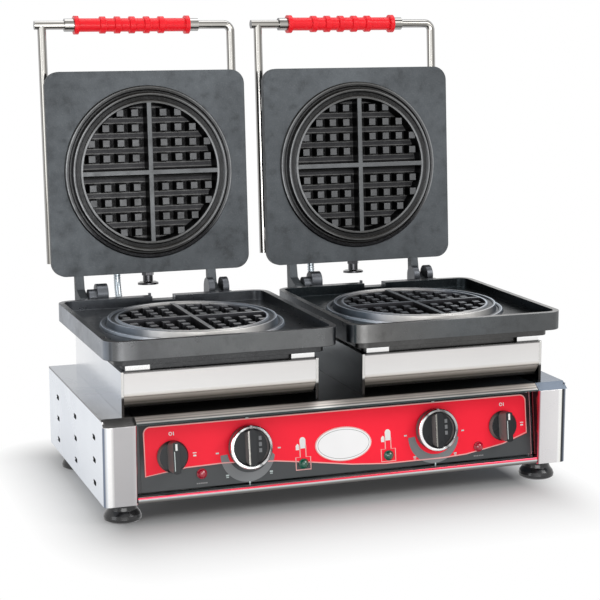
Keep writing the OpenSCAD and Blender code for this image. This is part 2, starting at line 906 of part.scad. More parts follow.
// Bright front with its top flange and the band folded back below it
module heater_front() {
    z0 = box_z1 - box_front_h;
    foot_y = box_y0 + band_run;
    foot_z = z0 - band_drop;
    inner_y = box_y0 + box_flange;
    half = box_x - return_w - 0.1;
    difference() {
        along_x(-half, half)
            polygon([
                [box_y0, box_z1], [box_y0, z0], [foot_y, foot_z],
                [foot_y + 10, foot_z], [foot_y + 10, foot_z + box_t],
                [foot_y + box_t, foot_z + box_t], [box_y0 + box_t, z0 + 0.3],
                [box_y0 + box_t, box_z1 - box_t], [inner_y, box_z1 - box_t], [inner_y, box_z1]
            ]);
        // its top flange ends short of the box's side flanges
        for (side = [0, 1]) {
            mirror([side, 0, 0])
                translate([box_x - box_flange - free_gap, box_y0 + box_t, box_z1 - box_t - cut])
                    cube([2 * box_flange, box_flange, box_t + 2 * cut]);
        }
    }
}

module heater_fronts() {
    color("white") for (unit = [-1, 1]) {
        at_unit(unit) heater_front();
    }
}

// Folded clips that carry a plate on its box
module plate_tabs() {
    color("white") for (unit = [-1, 1], side = [-1, 1], back = [0, 1]) {
        at_unit(unit)
            translate([0, back * 2 * unit_y, 0])
                mirror([0, back, 0])
                    plate_tab(side);
    }
}

module plate_tab(side) {
    x0 = side > 0 ? box_x - 33 : -box_x + 5;
    along_x(x0, x0 + 28)
        polygon([
            [box_y0, box_z1], [box_y0, step_z0], [box_y0 + tab_d, step_z0],
            [box_y0 + tab_d, step_z0 - box_t], [box_y0 + box_t, step_z0 - box_t],
            [box_y0 + box_t, box_z1 + box_t], [box_y0 + tab_d, box_z1 + box_t], [box_y0 + tab_d, box_z1]
        ]);
}

module lower_insulation() {
    color("wheat") for (unit = [-1, 1]) {
        at_unit(unit)
            translate([-box_x + 14, box_y0 + 66, base_z1 + box_t])
                cube([box_w - 28, box_d - 96, box_h - 12]);
    }
}

// ---------- lower plates ----------

module lower_plate() {
    difference() {
        union() {
            // tray
            translate([0, unit_y, tray_z0]) difference() {
                rounded_block(tray_w, tray_w, tray_h, tray_r);
                translate([0, 0, tray_h - tray_depth])
                    rounded_block(
                        tray_w - 2 * tray_wall, tray_w - 2 * tray_wall, tray_depth + cut,
                        tray_r - tray_wall
                    );
            }
            // narrower step and the skirt inside it
            translate([0, unit_y, step_z0]) difference() {
                rounded_block(step_w, step_w, step_h + cut, 12);
                translate([0, 0, -cut]) rounded_block(step_w - 28, step_w - 28, step_h + cut, 8);
            }
            translate([0, unit_y, box_z1 + free_gap]) difference() {
                rounded_block(skirt_w, skirt_d, tab_h + step_h, 10);
                translate([0, 0, -cut])
                    rounded_block(skirt_w - 8, skirt_d - 8, tab_h + step_h, 6);
            }
        }
        // seat of the baking disc
        translate([0, unit_y, tray_z0 - cut]) cylinder(r = plug_r + free_gap, h = tray_h, $fn = 96);
        // notch in the rear wall
        translate([-notch_w / 2, tray_back - tray_wall - cut, rim_z - notch_h])
            cube([notch_w, tray_wall + 2 * cut, notch_h + cut]);
    }
}

module left_lower_plate() {
    color("slategray") at_unit(-1) lower_plate();
}

module right_lower_plate() {
    color("slategray") at_unit(1) lower_plate();
}

module left_lower_mould() {
    color("dimgray") at_unit(-1) lower_mould();
}

module right_lower_mould() {
    color("dimgray") at_unit(1) lower_mould();
}

module lower_mould() {
    translate([0, unit_y, meet_z - closed_gap / 2]) baking_disc(floor_z - tray_z0);
}

// Tubular heater: an open ring with two tails, its centre line at z = 0
module element() {
    gap = 24;
    turn = atan2(gap / 2, element_ring_r);
    rotate([0, 0, 90 + turn])
        rotate_extrude(angle = 360 - 2 * turn, $fn = 96)
            translate([element_ring_r, 0]) circle(element_r);
    for (x = [-1, 1]) {
        translate([x * gap / 2, element_ring_r * cos(turn), 0])
            rotate([-90, 0, 0])
                cylinder(r = element_r, h = 30);
    }
}

module lower_elements() {
    color("dimgray") for (unit = [-1, 1]) {
        at_unit(unit)
            translate([0, unit_y, tray_z0 - pad_t - element_r - free_gap]) element();
    }
}

// ---------- hinges ----------

// Casting behind the tray with an ear for the left pin and a clevis for the right one
module hinge_bracket() {
    bar_d = 8;
    ear_w = 14;
    cheek_w = 8;
    bar_z0 = tray_z0 + 1.5;
    lug_in = lug_t / 2 + free_gap;
    difference() {
        union() {
            translate([left_lug_x + lug_in, tray_back, bar_z0])
                cube([right_lug_x - left_lug_x + cheek_w, bar_d, rim_z - bar_z0 - 0.5]);
            // ear and its lower step beside the left lug
            along_x(left_lug_x + 15.5, left_lug_x + 15.5 + ear_w) ear_profile(ear_top_r, 12);
            along_x(left_lug_x + lug_in, left_lug_x + 15.5 + cut) ear_profile(10, 8);
            // clevis round the right lug
            for (side = [-1, 1]) {
                x = right_lug_x + side * (lug_in + cheek_w / 2);
                along_x(x - cheek_w / 2, x + cheek_w / 2) ear_profile(ear_top_r, 12);
            }
            // little stop at the notch's end
            translate([-notch_w / 2 - 3, tray_back, rim_z - 4]) cube([3, 3, 7]);
        }
        translate([left_lug_x - 20, hinge_y, hinge_z])
            rotate([0, 90, 0])
                cylinder(r = pin_r, h = right_lug_x - left_lug_x + 60);
        translate([-notch_w / 2, tray_back - cut, rim_z - notch_h])
            cube([notch_w, bar_d + 2 * cut, notch_h + cut]);
        // room for the right lug
        translate([right_lug_x - lug_in, tray_back + bar_d, bar_z0 - cut])
            cube([2 * lug_in, 60, 60]);
    }
}

// Side view of one ear: a foot behind the tray, and a round top above the pin
module ear_profile(top_r, rise) {
    z0 = tray_z0 + 1.5;
    polygon([
        [tray_back + 1, z0], [hinge_y + top_r - 4, z0], [hinge_y + top_r, z0 + 5],
        [hinge_y + top_r, hinge_z + rise], [hinge_y - top_r, hinge_z + rise],
        [hinge_y - top_r, rim_z - 3], [tray_back + 1, rim_z - 3]
    ]);
    translate([hinge_y, hinge_z + rise]) circle(top_r);
}

module left_hinge_bracket() {
    color("slategray") at_unit(-1) hinge_bracket();
}

module right_hinge_bracket() {
    color("slategray") at_unit(1) hinge_bracket();
}

module hinge_pin_pair() {
    translate([left_lug_x - lug_t / 2 - 2, hinge_y, hinge_z])
        rotate([0, 90, 0]) {
            cylinder(r = pin_r, h = lug_t + 2 + 24 + free_gap);
            cylinder(r = pin_r + 1.5, h = 2 - free_gap);
        }
    translate([right_lug_x - lug_t / 2 - 10.3, hinge_y, hinge_z])
        rotate([0, 90, 0]) {
            cylinder(r = pin_r, h = lug_t + 20.6);
            translate([0, 0, lug_t + 18.6]) cylinder(r = pin_r + 1.5, h = 2);
        }
}

module hinge_pins() {
    color("silver") for (unit = [-1, 1]) {
        at_unit(unit) hinge_pin_pair();
    }
}

// ---------- lids, drawn closed ----------

module upper_plate() {
    difference() {
        union() {
            translate([0, unit_y, face_z]) rounded_block(lid_w, lid_d, lid_t, lid_r);
            for (x = [left_lug_x, right_lug_x]) {
                along_x(x - lug_t / 2, x + lug_t / 2) lug_profile();
            }
        }
        // seat of the baking disc
        translate([0, unit_y, face_z - cut]) cylinder(r = plug_r + free_gap, h = lid_t + 2 * cut, $fn = 96);
        translate([left_lug_x - 20, hinge_y, hinge_z])
            rotate([0, 90, 0])
                cylinder(r = pin_r + running_gap, h = right_lug_x - left_lug_x + 40);
    }
}

// Arm from the plate's rear edge down to its pin
module lug_profile() {
    polygon([
        [lid_y1 - 14, face_z], [lid_y1 - 14, lid_z1], [hinge_y - 3, lid_z1],
        [hinge_y + lug_r, hinge_z + 8], [hinge_y + lug_r, hinge_z], [hinge_y - lug_r, hinge_z],
        [hinge_y - lug_r - 7, face_z - 3], [lid_y1, face_z]
    ]);
    translate([hinge_y, hinge_z]) circle(lug_r);
}

module left_upper_plate() {
    color("dimgray") at_lid(-1) upper_plate();
}

module right_upper_plate() {
    color("dimgray") at_lid(1) upper_plate();
}

module left_upper_mould() {
    color("dimgray") at_lid(-1) upper_mould();
}

module right_upper_mould() {
    color("dimgray") at_lid(1) upper_mould();
}

module upper_mould() {
    translate([0, unit_y, meet_z + closed_gap / 2]) mirror([0, 0, 1]) baking_disc(lid_t);
}

// Folded cover over the back of a lid, with sloping upper edges
module lid_cover(side) {
    bevel = 7;
    difference() {
        cover_solid(0, bevel);
        cover_solid(box_t, bevel - 0.5);
        // hole where the conduit comes in
        translate([conduit_side[(side + 1) / 2], cover_y1 - 6, conduit_z])
            rotate([-90, 0, 0])
                cylinder(r = conduit_r + 1, h = 12);
        lid_screw_places() screw_hole();
    }
}

// Solid block of the cover, drawn in by a given wall thickness
module cover_solid(wall, bevel) {
    half = cover_w / 2 - wall;
    y0 = cover_y0 + wall;
    y1 = cover_y1 - wall;
    z0 = lid_z1 - (wall > 0 ? cut : 0);
    z1 = cover_z1 - wall;
    intersection() {
        along_x(-half, half)
            polygon([
                [y0, z0], [y0, z1 - bevel], [y0 + bevel, z1],
                [y1 - bevel, z1], [y1, z1 - bevel], [y1, z0]
            ]);
        translate([0, y1, 0])
            rotate([90, 0, 0])
                linear_extrude(y1 - y0)
                    polygon([
                        [-half, z0], [-half, z1 - bevel], [-half + bevel, z1],
                        [half - bevel, z1], [half, z1 - bevel], [half, z0]
                    ]);
    }
}

module left_lid_cover() {
    color("silver") at_lid(-1) lid_cover(-1);
}

module right_lid_cover() {
    color("silver") at_lid(1) lid_cover(1);
}

module upper_element() {
    translate([0, unit_y, lid_z1 + pad_t + element_r + free_gap])
        mirror([0, 1, 0])
            element();
}

module left_upper_element() {
    color("dimgray") at_lid(-1) upper_element();
}

module right_upper_element() {
    color("dimgray") at_lid(1) upper_element();
}

// Round stop below the standing lid: a stem and a wide foot
module stop_stud() {
    translate([0, cover_y1, stud_z])
        rotate([-90, 0, 0]) {
            cylinder(r = 6.5, h = 24);
            translate([0, 0, 8]) cylinder(r = 8, h = 6, $fn = 6);
            translate([0, 0, 22]) cylinder(r1 = 10, r2 = 13.5, h = 1.5, $fn = 48);
            translate([0, 0, 23.5]) cylinder(r = 13.5, h = 2.5);
        }
}

module left_stop_stud() {
    color("dimgray") at_lid(-1) stop_stud();
}

module right_stop_stud() {
    color("dimgray") at_lid(1) stop_stud();
}

module lid_screw_places() {
    for (x = [-1, 1], y = [cover_y0 + 40, cover_y1 - 40]) {
        translate([x * (cover_w / 2 - 22), y, cover_z1]) children();
    }
}

module left_lid_screws() {
    color("silver") at_lid(-1) lid_screw_places() screw(4, 1.6);
}

module right_lid_screws() {
    color("silver") at_lid(1) lid_screw_places() screw(4, 1.6);
}

// ---------- handles ----------

// Bent rod: left leg, the bar with its short overhang, a round bend and the right leg
module handle_frame() {
    overhang = 4;
    translate([-leg_x, leg_end_y, bar_z])
        rotate([90, 0, 0])
            cylinder(r = rod_r, h = leg_end_y - bar_y);
    translate([-leg_x - rod_r - overhang, bar_y, bar_z])
        rotate([0, 90, 0])
            cylinder(r = rod_r, h = 2 * leg_x + rod_r + overhang - bend_r);
    translate([leg_x - bend_r, bar_y + bend_r, bar_z])
        rotate_extrude(angle = 90, start = 270)
            translate([bend_r, 0])
                circle(rod_r);
    translate([leg_x, leg_end_y, bar_z])
        rotate([90, 0, 0])
            cylinder(r = rod_r, h = leg_end_y - bar_y - bend_r);
}

module left_handle_frame() {
    color("white") at_lid(-1) handle_frame();
}

module right_handle_frame() {
    color("white") at_lid(1) handle_frame();
}

// Ribbed grip, turned about the bar
module grip() {
    flange_w = 5.5;
    rib_w = 8.5;
    rib_pitch = 19.2;
    edge = 1;
    half = grip_len / 2;
    difference() {
        translate([-grip_shift, bar_y, bar_z]) rotate([0, 90, 0]) {
            translate([0, 0, -half]) cylinder(r = grip_r, h = grip_len);
            for (end = [-half, half - flange_w]) {
                translate([0, 0, end]) cylinder(r = grip_flange_r, h = flange_w);
            }
            for (i = [-2:2]) {
                translate([0, 0, i * rib_pitch - rib_w / 2])
                    rotate_extrude()
                        polygon([
                            [0, 0], [grip_r, 0], [grip_rib_r, edge], [grip_rib_r, rib_w - edge],
                            [grip_r, rib_w], [0, rib_w]
                        ]);
            }
        }
        translate([-grip_shift - half - cut, bar_y, bar_z])
            rotate([0, 90, 0])
                cylinder(r = rod_r + running_gap, h = grip_len + 2 * cut);
    }
}

module left_grip() {
    color("red") at_lid(-1) grip();
}

module right_grip() {
    color("red") at_lid(1) grip();
}

// Chrome collars at both ends of the grip
module collars() {
    for (side = [-1, 1]) {
        end = -grip_shift + side * (grip_len / 2 + 0.1);
        translate([end + (side < 0 ? -collar_len : 0), bar_y, bar_z])
            rotate([0, 90, 0])
                difference() {
                    cylinder(r = collar_r, h = collar_len);
                    translate([0, 0, -cut]) cylinder(r = rod_r + running_gap, h = collar_len + 2 * cut);
                }
    }
}

module left_collars() {
    color("white") at_lid(-1) collars();
}

module right_collars() {
    color("white") at_lid(1) collars();
}

// Clips between the cover's sides and the rod's legs
module handle_clips() {
    clip_d = 18;
    clip_h = 14;
    for (side = [-1, 1], y = [cover_y0 + 30, cover_y1 - 32]) {
        x0 = cover_w / 2;
        mirror([side > 0 ? 0 : 1, 0, 0]) difference() {
            translate([x0, y - clip_d / 2, bar_z - clip_h / 2]) cube([leg_x - x0, clip_d, clip_h]);
            translate([leg_x, y - clip_d, bar_z])
                rotate([-90, 0, 0])
                    cylinder(r = rod_r, h = 2 * clip_d);
        }
    }
}

module left_handle_clips() {
    color("silver") at_lid(-1) handle_clips();
}

module right_handle_clips() {
    color("silver") at_lid(1) handle_clips();
}

// ---------- heater conduits ----------

// Route of a conduit from its gland to the open lid's cover, as [y, z] above the base
conduit_route = [[0, 8], [0, 20], [8, 38], [24, 58], [40, 74], [49, 94]];
conduit_sides = 10;

// Last point of the route, inside the hole in the open lid's cover
conduit_end = [open_y(cover_y1 - 2, conduit_z), open_z(cover_y1 - 2, conduit_z)];

function conduit_points() = [
    for (p = conduit_route) [conduit_y + p[0], base_z1 + p[1]],
    [conduit_end[0], conduit_end[1]]
];

// Direction of the route at one of its points
function run(points, i) =
    let (a = points[max(i - 1, 0)], b = points[min(i + 1, len(points) - 1)])
    (b - a) / norm(b - a);

module conduit(side) {
    x0 = conduit_side[(side + 1) / 2];
    points = conduit_points();
    rings = len(points);
    corners = [
        for (i = [0:rings - 1], k = [0:conduit_sides - 1])
            let (d = run(points, i), a = 360 * k / conduit_sides)
            [
                x0 + conduit_r * cos(a),
                points[i][0] + conduit_r * sin(a) * d[1],
                points[i][1] - conduit_r * sin(a) * d[0]
            ]
    ];
    sides = [
        for (i = [0:rings - 2], k = [0:conduit_sides - 1])
            let (a = i * conduit_sides + k, b = i * conduit_sides + (k + 1) % conduit_sides)
            [a, a + conduit_sides, b + conduit_sides, b]
    ];
    first = [for (k = [0:conduit_sides - 1]) k];
    last = [for (k = [0:conduit_sides - 1]) rings * conduit_sides - 1 - k];
    polyhedron(points = corners, faces = concat(sides, [first], [last]));
}

module left_conduit() {
    color("silver") at_unit(-1) conduit(-1);
}

module right_conduit() {
    color("silver") at_unit(1) conduit(1);
}

// Nuts on the base that the conduits come out of
module conduit_glands() {
    color("silver") for (side = [-1, 1]) {
        at_unit(side)
            translate([conduit_side[(side + 1) / 2], conduit_y, base_z1]) {
                cylinder(r = conduit_r + 5, h = 5, $fn = 6);
                cylinder(r = conduit_r + 3, h = conduit_route[0][1]);
                translate([0, 0, -sheet_t - 4]) cylinder(r = conduit_r + 1.7, h = sheet_t + 5);
            }
    }
}

left_cheek();
right_cheek();
top_cover();
bottom_plate();
rear_panel();
front_rail();
control_panel();
panel_label();
badge();
rubber_feet();
foot_bolts();
cable_gland();
terminal_block();
thermostats();
rotary_switches();
red_lamps();
green_lamps();
base_screws();
conduit_glands();
plate_tabs();
lower_insulation();
left_thermostat_knob();
right_thermostat_knob();
left_knob_ring();
right_knob_ring();
left_switch_knob();
right_switch_knob();
left_heater_box();
right_heater_box();
heater_fronts();
left_lower_plate();
right_lower_plate();
left_lower_mould();
right_lower_mould();
lower_elements();
left_hinge_bracket();
right_hinge_bracket();
hinge_pins();
left_upper_plate();
right_upper_plate();
left_upper_mould();
right_upper_mould();
left_lid_cover();
right_lid_cover();
left_upper_element();
right_upper_element();
left_stop_stud();
right_stop_stud();
left_handle_frame();
right_handle_frame();
left_grip();
right_grip();
left_collars();
right_collars();
left_handle_clips();
right_handle_clips();
left_conduit();
right_conduit();
left_lid_screws();
right_lid_screws();
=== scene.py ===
"""Double waffle baker: finishes, printed label, small fittings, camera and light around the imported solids."""
import json
import math

import bmesh
import bpy
from mathutils import Matrix, Vector


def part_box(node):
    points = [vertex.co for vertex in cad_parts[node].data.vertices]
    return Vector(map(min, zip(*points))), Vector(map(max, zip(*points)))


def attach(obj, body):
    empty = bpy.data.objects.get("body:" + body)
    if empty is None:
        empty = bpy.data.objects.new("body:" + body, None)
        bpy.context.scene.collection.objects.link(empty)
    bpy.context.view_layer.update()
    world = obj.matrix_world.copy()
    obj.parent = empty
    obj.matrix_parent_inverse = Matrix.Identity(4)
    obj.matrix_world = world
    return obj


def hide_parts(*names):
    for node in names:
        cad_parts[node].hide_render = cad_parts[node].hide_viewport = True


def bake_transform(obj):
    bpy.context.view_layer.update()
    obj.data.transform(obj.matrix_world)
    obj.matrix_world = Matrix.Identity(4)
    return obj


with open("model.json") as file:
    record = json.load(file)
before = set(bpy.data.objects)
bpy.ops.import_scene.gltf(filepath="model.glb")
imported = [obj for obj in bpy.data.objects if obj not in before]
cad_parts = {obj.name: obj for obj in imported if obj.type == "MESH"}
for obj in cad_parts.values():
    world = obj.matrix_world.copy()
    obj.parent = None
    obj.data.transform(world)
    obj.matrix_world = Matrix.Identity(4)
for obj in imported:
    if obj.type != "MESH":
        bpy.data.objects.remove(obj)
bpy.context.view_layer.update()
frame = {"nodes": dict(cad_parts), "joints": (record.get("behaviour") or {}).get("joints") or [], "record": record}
NODES = frame["nodes"]
JOINTS = {joint["name"]: joint for joint in frame["joints"]}
SIDES = (("left", -1), ("right", 1))
MM = 0.001

# ---- places read from the frame

CHEEK_LOW, CHEEK_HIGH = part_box("left_cheek")
FRONT_Y = CHEEK_LOW.y
BASE_TOP_Z = CHEEK_HIGH.z
RECESS_X = abs(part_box("front_rail")[0].x)
BOX_TOP_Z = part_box("left_heater_box")[1].z
LID_TURN = math.radians(JOINTS["left_lid_hinge"]["range_deg"][1])

# The label's plane: x along it, up its slope and straight out of it
PANEL_OUT = -Vector(JOINTS["left_switch_turn"]["axis"]).normalized()
PANEL_UP = PANEL_OUT.cross(Vector((1, 0, 0))).normalized()
DIAL_AXIS = {side: Vector(JOINTS[side + "_thermostat_turn"]["pos_m"]) for side, _ in SIDES}
SWITCH_AXIS = {side: Vector(JOINTS[side + "_switch_turn"]["pos_m"]) for side, _ in SIDES}
DIAL_UP = 42.0
LABEL_MIDDLE = (DIAL_AXIS["left"] + DIAL_AXIS["right"]) / 2 - PANEL_UP * DIAL_UP * MM
LABEL_HALF = 237.5

# Folds and rims of the solids, in metres
VISOR_HIGH = 0.0065  # the visor's slope
BAND_FOOT = 0.0425  # the foot of the return band, below its box's top
WALL_BAND = (0.027, 0.03)  # where the upright band ends on the wall ends
TAB_HIGH = 0.006
RAIL_FOLD = 0.0075
FLANGE_WIDE = 0.04
FLANGE_END = (0.0345, 0.0365)  # where a cheek's flange folds in towards the label
RIM_WIDE = 0.004  # a tray's rim
TRAY_HIGH = (0.0215, 0.0205)  # the tray's underside and just above it, below its rim
RIM_ROUND = (0.0004, 0.0025)  # from the rim's top to the tray's inside


def on_panel(origin):
    """Matrix that takes millimetres along x, up the slope and out of the label to the row frame."""
    turn = Matrix((Vector((1, 0, 0)), PANEL_UP, PANEL_OUT)).transposed().to_4x4()
    return Matrix.Translation(origin) @ turn @ Matrix.Scale(MM, 4)


def reach(node, origin, direction):
    """How far a node extends from origin along a direction, in millimetres."""
    return max((vertex.co - origin).dot(direction) for vertex in NODES[node].data.vertices) / MM


def mid(points, axis):
    """Halfway between the ends of some points along an axis."""
    return (min(p[axis] for p in points) + max(p[axis] for p in points)) / 2


def on_label(x, z, out=0.0):
    """The point at x and z of the label's plane, or of one further out."""
    up = (z - LABEL_MIDDLE.z - PANEL_OUT.z * out) / PANEL_UP.z
    return LABEL_MIDDLE + Vector((x - LABEL_MIDDLE.x, 0, 0)) + PANEL_UP * up


# ---- material kit


class Nodes:
    """A node tree with short calls for what the finishes and the world share."""

    def __init__(self, tree):
        self.tree = tree

    def node(self, kind, **values):
        """A new node with some of its settings."""
        made = self.tree.nodes.new(kind)
        for key, value in values.items():
            setattr(made, key, value)
        return made

    def link(self, source, target):
        self.tree.links.new(source, target)

    def position(self, scale=(1, 1, 1), turn=(0, 0, 0), shift=(0, 0, 0)):
        """The point in the row frame, scaled, turned and shifted."""
        place = self.node("ShaderNodeTexCoord")
        mapping = self.node("ShaderNodeMapping")
        mapping.inputs["Scale"].default_value = scale
        mapping.inputs["Rotation"].default_value = turn
        mapping.inputs["Location"].default_value = shift
        self.link(place.outputs["Object"], mapping.inputs["Vector"])
        return mapping.outputs["Vector"]

    def parts(self, vector):
        """A vector's x, y and z."""
        split = self.node("ShaderNodeSeparateXYZ")
        self.link(vector, split.inputs["Vector"])
        return split.outputs

    def place(self):
        """The point's x, y and z in the row frame."""
        return self.parts(self.position())

    def along(self, axis, start, end):
        """How far the point is from start to end along an axis."""
        return self.rise(self.place()[axis], start, end)

    def facing(self):
        """The surface direction's x, y and z in the row frame."""
        return self.parts(self.node("ShaderNodeTexCoord").outputs["Normal"])

    def math(self, operation, first, second=0.0):
        """One operation on sockets or numbers."""
        made = self.node("ShaderNodeMath", operation=operation)
        for socket, value in zip(made.inputs, (first, second)):
            if isinstance(value, bpy.types.NodeSocket):
                self.link(value, socket)
            else:
                socket.default_value = value
        return made.outputs[0]

    def rays(self):
        """Whether a ray comes from the camera, and whether off a mirroring or through a clear surface."""
        rays = self.node("ShaderNodeLightPath").outputs
        return rays["Is Camera Ray"], self.math("MAXIMUM", rays["Is Glossy Ray"], rays["Is Transmission Ray"])

    def noise(self, scale, detail, roughness, stretch=(1, 1, 1)):
        """Clouds or grain fixed to the row frame, finer along an axis that is stretched."""
        made = self.node("ShaderNodeTexNoise")
        made.inputs["Scale"].default_value = scale
        made.inputs["Detail"].default_value = detail
        made.inputs["Roughness"].default_value = roughness
        self.link(self.position(stretch), made.inputs["Vector"])
        return made.outputs["Fac"]

    def stops(self, source, *stops):
        """A colour that passes through stops as source grows: each a position and a grey or a colour."""
        made = self.node("ShaderNodeValToRGB")
        elements = made.color_ramp.elements
        while len(elements) < len(stops):
            elements.new(0.5)
        for element, stop in zip(elements, stops):
            element.position = stop[0]
        for element, (_, *color) in zip(elements, stops):
            element.color = (*(color if len(color) == 3 else color * 3), 1)
        self.link(source, made.inputs["Fac"])
        return made.outputs["Color"]

    def ramp(self, source, low, high, start=0.3, end=0.7):
        """A colour between low and high as source goes from start to end."""
        return self.stops(source, (start, *low), (end, *high))

    def span(self, source, low, high, start=0.3, end=0.7):
        """A number between low and high as source goes from start to end."""
        made = self.node("ShaderNodeMapRange")
        made.inputs["From Min"].default_value = start
        made.inputs["From Max"].default_value = end
        made.inputs["To Min"].default_value = low
        made.inputs["To Max"].default_value = high
        self.link(source, made.inputs["Value"])
        return made.outputs["Result"]

    def rise(self, source, start, end):
        """Nothing up to start, one from end on."""
        return self.span(source, 0.0, 1.0, start, end)

    def fall(self, source, start, end):
        """One up to start, nothing from end on."""
        return self.span(source, 1.0, 0.0, start, end)

    def flip(self, source):
        return self.math("MULTIPLY", source, -1.0)

    def times(self, first, second):
        return self.math("MULTIPLY", first, second)

    def unsigned(self, source):
        return self.math("ABSOLUTE", source)

    def blend(self, factor, first, second, mode="MIX"):
        """Second over first by factor."""
        made = self.node("ShaderNodeMix", data_type="RGBA", blend_type=mode)
        for socket, value in ((0, factor), (6, first), (7, second)):
            if isinstance(value, bpy.types.NodeSocket):
                self.link(value, made.inputs[socket])
            elif isinstance(value, tuple):
                made.inputs[socket].default_value = (*value, 1)
            else:
                made.inputs[socket].default_value = value
        return made.outputs[2]

    def multiply(self, first, second):
        """One tone dimmed by another."""
        return self.blend(1.0, first, second, "MULTIPLY")


class Shader(Nodes):
    """A node material."""

    def __init__(self, name):
        self.material = bpy.data.materials.new(name)
        self.material.use_nodes = True
        super().__init__(self.material.node_tree)
        self.surface = self.tree.nodes["Principled BSDF"]

    def set(self, **values):
        """Sets sockets of the surface, named with _ for spaces."""
        for key, value in values.items():
            self.surface.inputs[key.replace("_", " ")].default_value = value
        return self

    def color(self, source):
        self.link(source, self.surface.inputs["Base Color"])

    def roughness(self, source):
        self.link(source, self.surface.inputs["Roughness"])

    def relief(self, layers, edge):
        """Bump from (height socket, strength, distance) layers over softly rounded edges."""
        rounded = self.node("ShaderNodeBevel", samples=6)
        rounded.inputs["Radius"].default_value = edge
        normal = rounded.outputs["Normal"]
        for height, strength, distance in layers:
            bump = self.node("ShaderNodeBump")
            bump.inputs["Strength"].default_value = strength
            bump.inputs["Distance"].default_value = distance
            self.link(height, bump.inputs["Height"])
            self.link(normal, bump.inputs["Normal"])
            normal = bump.outputs["Normal"]
        self.link(normal, self.surface.inputs["Normal"])
        return self.material


def tint(color, factor):
    """A colour made lighter or darker by a factor."""
    return tuple(min(1.0, channel * factor) for channel in color)


def grey(level):
    """A colour without hue."""
    return (level, level, level)


# ---- finishes


def metal(name):
    return Shader(name).set(Metallic=1.0)


MARKS = 0.05  # how strong handling marks and brushed lines are
BRUSHED = (90, 4, 0.65)


def steel_grain(shader, tone, roughness, grain, edge):
    """Rolled and brushed sheet: fine lines along one axis over faint cloudy handling marks."""
    lines = shader.noise(*BRUSHED, grain)
    clouds = shader.noise(9, 3, 0.6)
    worn = shader.blend(shader.span(clouds, 0.0, 1.0), tone, grey(1 - MARKS), "MULTIPLY")
    shader.color(shader.blend(shader.span(lines, 0.0, MARKS), worn, (0.25, 0.25, 0.26)))
    shader.roughness(shader.span(clouds, roughness * 0.85, roughness * 1.15))
    return shader.relief([(lines, 0.05, 0.0002)], edge)


SHEET_GRAIN = (1, 60, 60)
SHEET_EDGE = 0.0008


def steel(name, tone_of, roughness=0.24, grain=SHEET_GRAIN, edge=SHEET_EDGE):
    """Stainless sheet whose tone, painted light and shade included, comes from a function of the way each fold
    faces.
    """
    shader = metal(name)
    return steel_grain(shader, tone_of(shader), roughness, grain, edge)


def facing_painted_tone(side, up):
    """One tone for upright faces and one for level ones: painted reflection that differs with the way each face
    turns.
    """
    def tone_of(shader):
        return shader.blend(shader.rise(shader.facing()[2], 0.35, 0.9), side, up)
    return tone_of


def cover_painted_light(shader):
    """The base's top with painted light: painted shade between the units and at the front, lighter to the back as
    painted reflection; its visor in soft bands of painted reflection.
    """
    depth = shader.along(1, FRONT_Y, -FRONT_Y)
    outside = shader.rise(shader.unsigned(shader.place()[0]), 0.12, 0.25)
    middle = shader.stops(
        depth, (0.0, 0.05, 0.047, 0.044), (0.07, 0.03), (0.16, 0.05, 0.05, 0.052), (0.5, 0.15, 0.155, 0.16)
    )
    edge = shader.stops(
        depth, (0.0, 0.05, 0.047, 0.044), (0.1, 0.03), (0.17, 0.13, 0.13, 0.135), (0.45, 0.2, 0.21, 0.23),
        (0.66, 0.25, 0.265, 0.29), (0.72, 0.5, 0.52, 0.55), (1.0, 0.6, 0.62, 0.64)
    )
    shaded = shader.along(0, 0.12, 0.25)
    tone = shader.blend(outside, middle, shader.blend(shaded, edge, (0.14, 0.17, 0.21)))
    height = shader.along(2, BASE_TOP_Z - VISOR_HIGH, BASE_TOP_Z)
    # painted reflection bands on the visor, with a painted shadow line at its foot
    visor = shader.stops(
        height, (0.0, 0.05, 0.07, 0.07), (0.1, 0.9, 0.9, 0.88), (0.2, 0.9, 0.87, 0.83),
        (0.3, 0.22, 0.21, 0.2), (0.42, 0.82, 0.76, 0.71), (0.55, 0.86, 0.79, 0.74), (0.64, 0.5, 0.46, 0.43),
        (0.72, 0.78, 0.72, 0.67), (0.86, 0.7, 0.64, 0.6), (1.0, 0.25, 0.23, 0.21)
    )
    slope = shader.rise(shader.flip(shader.facing()[1]), 0.1, 0.2)
    return shader.blend(slope, tone, visor)


def heater_front_painted_shade():
    """A bright upright band over a duller return in painted bands of reflection that darken downwards as painted
    shade, with painted shade just under the plate.
    """
    shader = metal("box_steel")
    below = shader.along(2, BOX_TOP_Z, BOX_TOP_Z - BAND_FOOT)
    # painted shade under the plate, the bright band, then painted reflection bands and shade down the return
    band = shader.stops(
        below, (0.0, 0.12), (0.03, 0.2, 0.19, 0.185), (0.05, 0.72, 0.7, 0.69), (0.12, 0.74, 0.72, 0.71),
        (0.55, 0.79, 0.78, 0.77), (0.62, 0.7, 0.67, 0.63), (0.66, 0.3, 0.27, 0.24), (0.7, 0.55, 0.5, 0.45),
        (0.78, 0.32, 0.285, 0.25), (0.84, 0.12, 0.105, 0.09), (0.87, 0.2, 0.18, 0.155),
        (0.92, 0.04, 0.036, 0.03), (1.0, 0.01, 0.009, 0.008)
    )
    shader.link(shader.span(below, 1.0, 0.25, 0.655, 0.675), shader.surface.inputs["Metallic"])
    return steel_grain(shader, band, 0.18, SHEET_GRAIN, SHEET_EDGE)


def tab_painted_shade(shader):
    """Bright clips with painted shade along their lower edge."""
    rise = shader.along(2, BOX_TOP_Z, BOX_TOP_Z + TAB_HIGH)
    return shader.stops(rise, (0.0, 0.08), (0.26, 0.1), (0.34, 0.85, 0.84, 0.83), (1.0, 0.95))


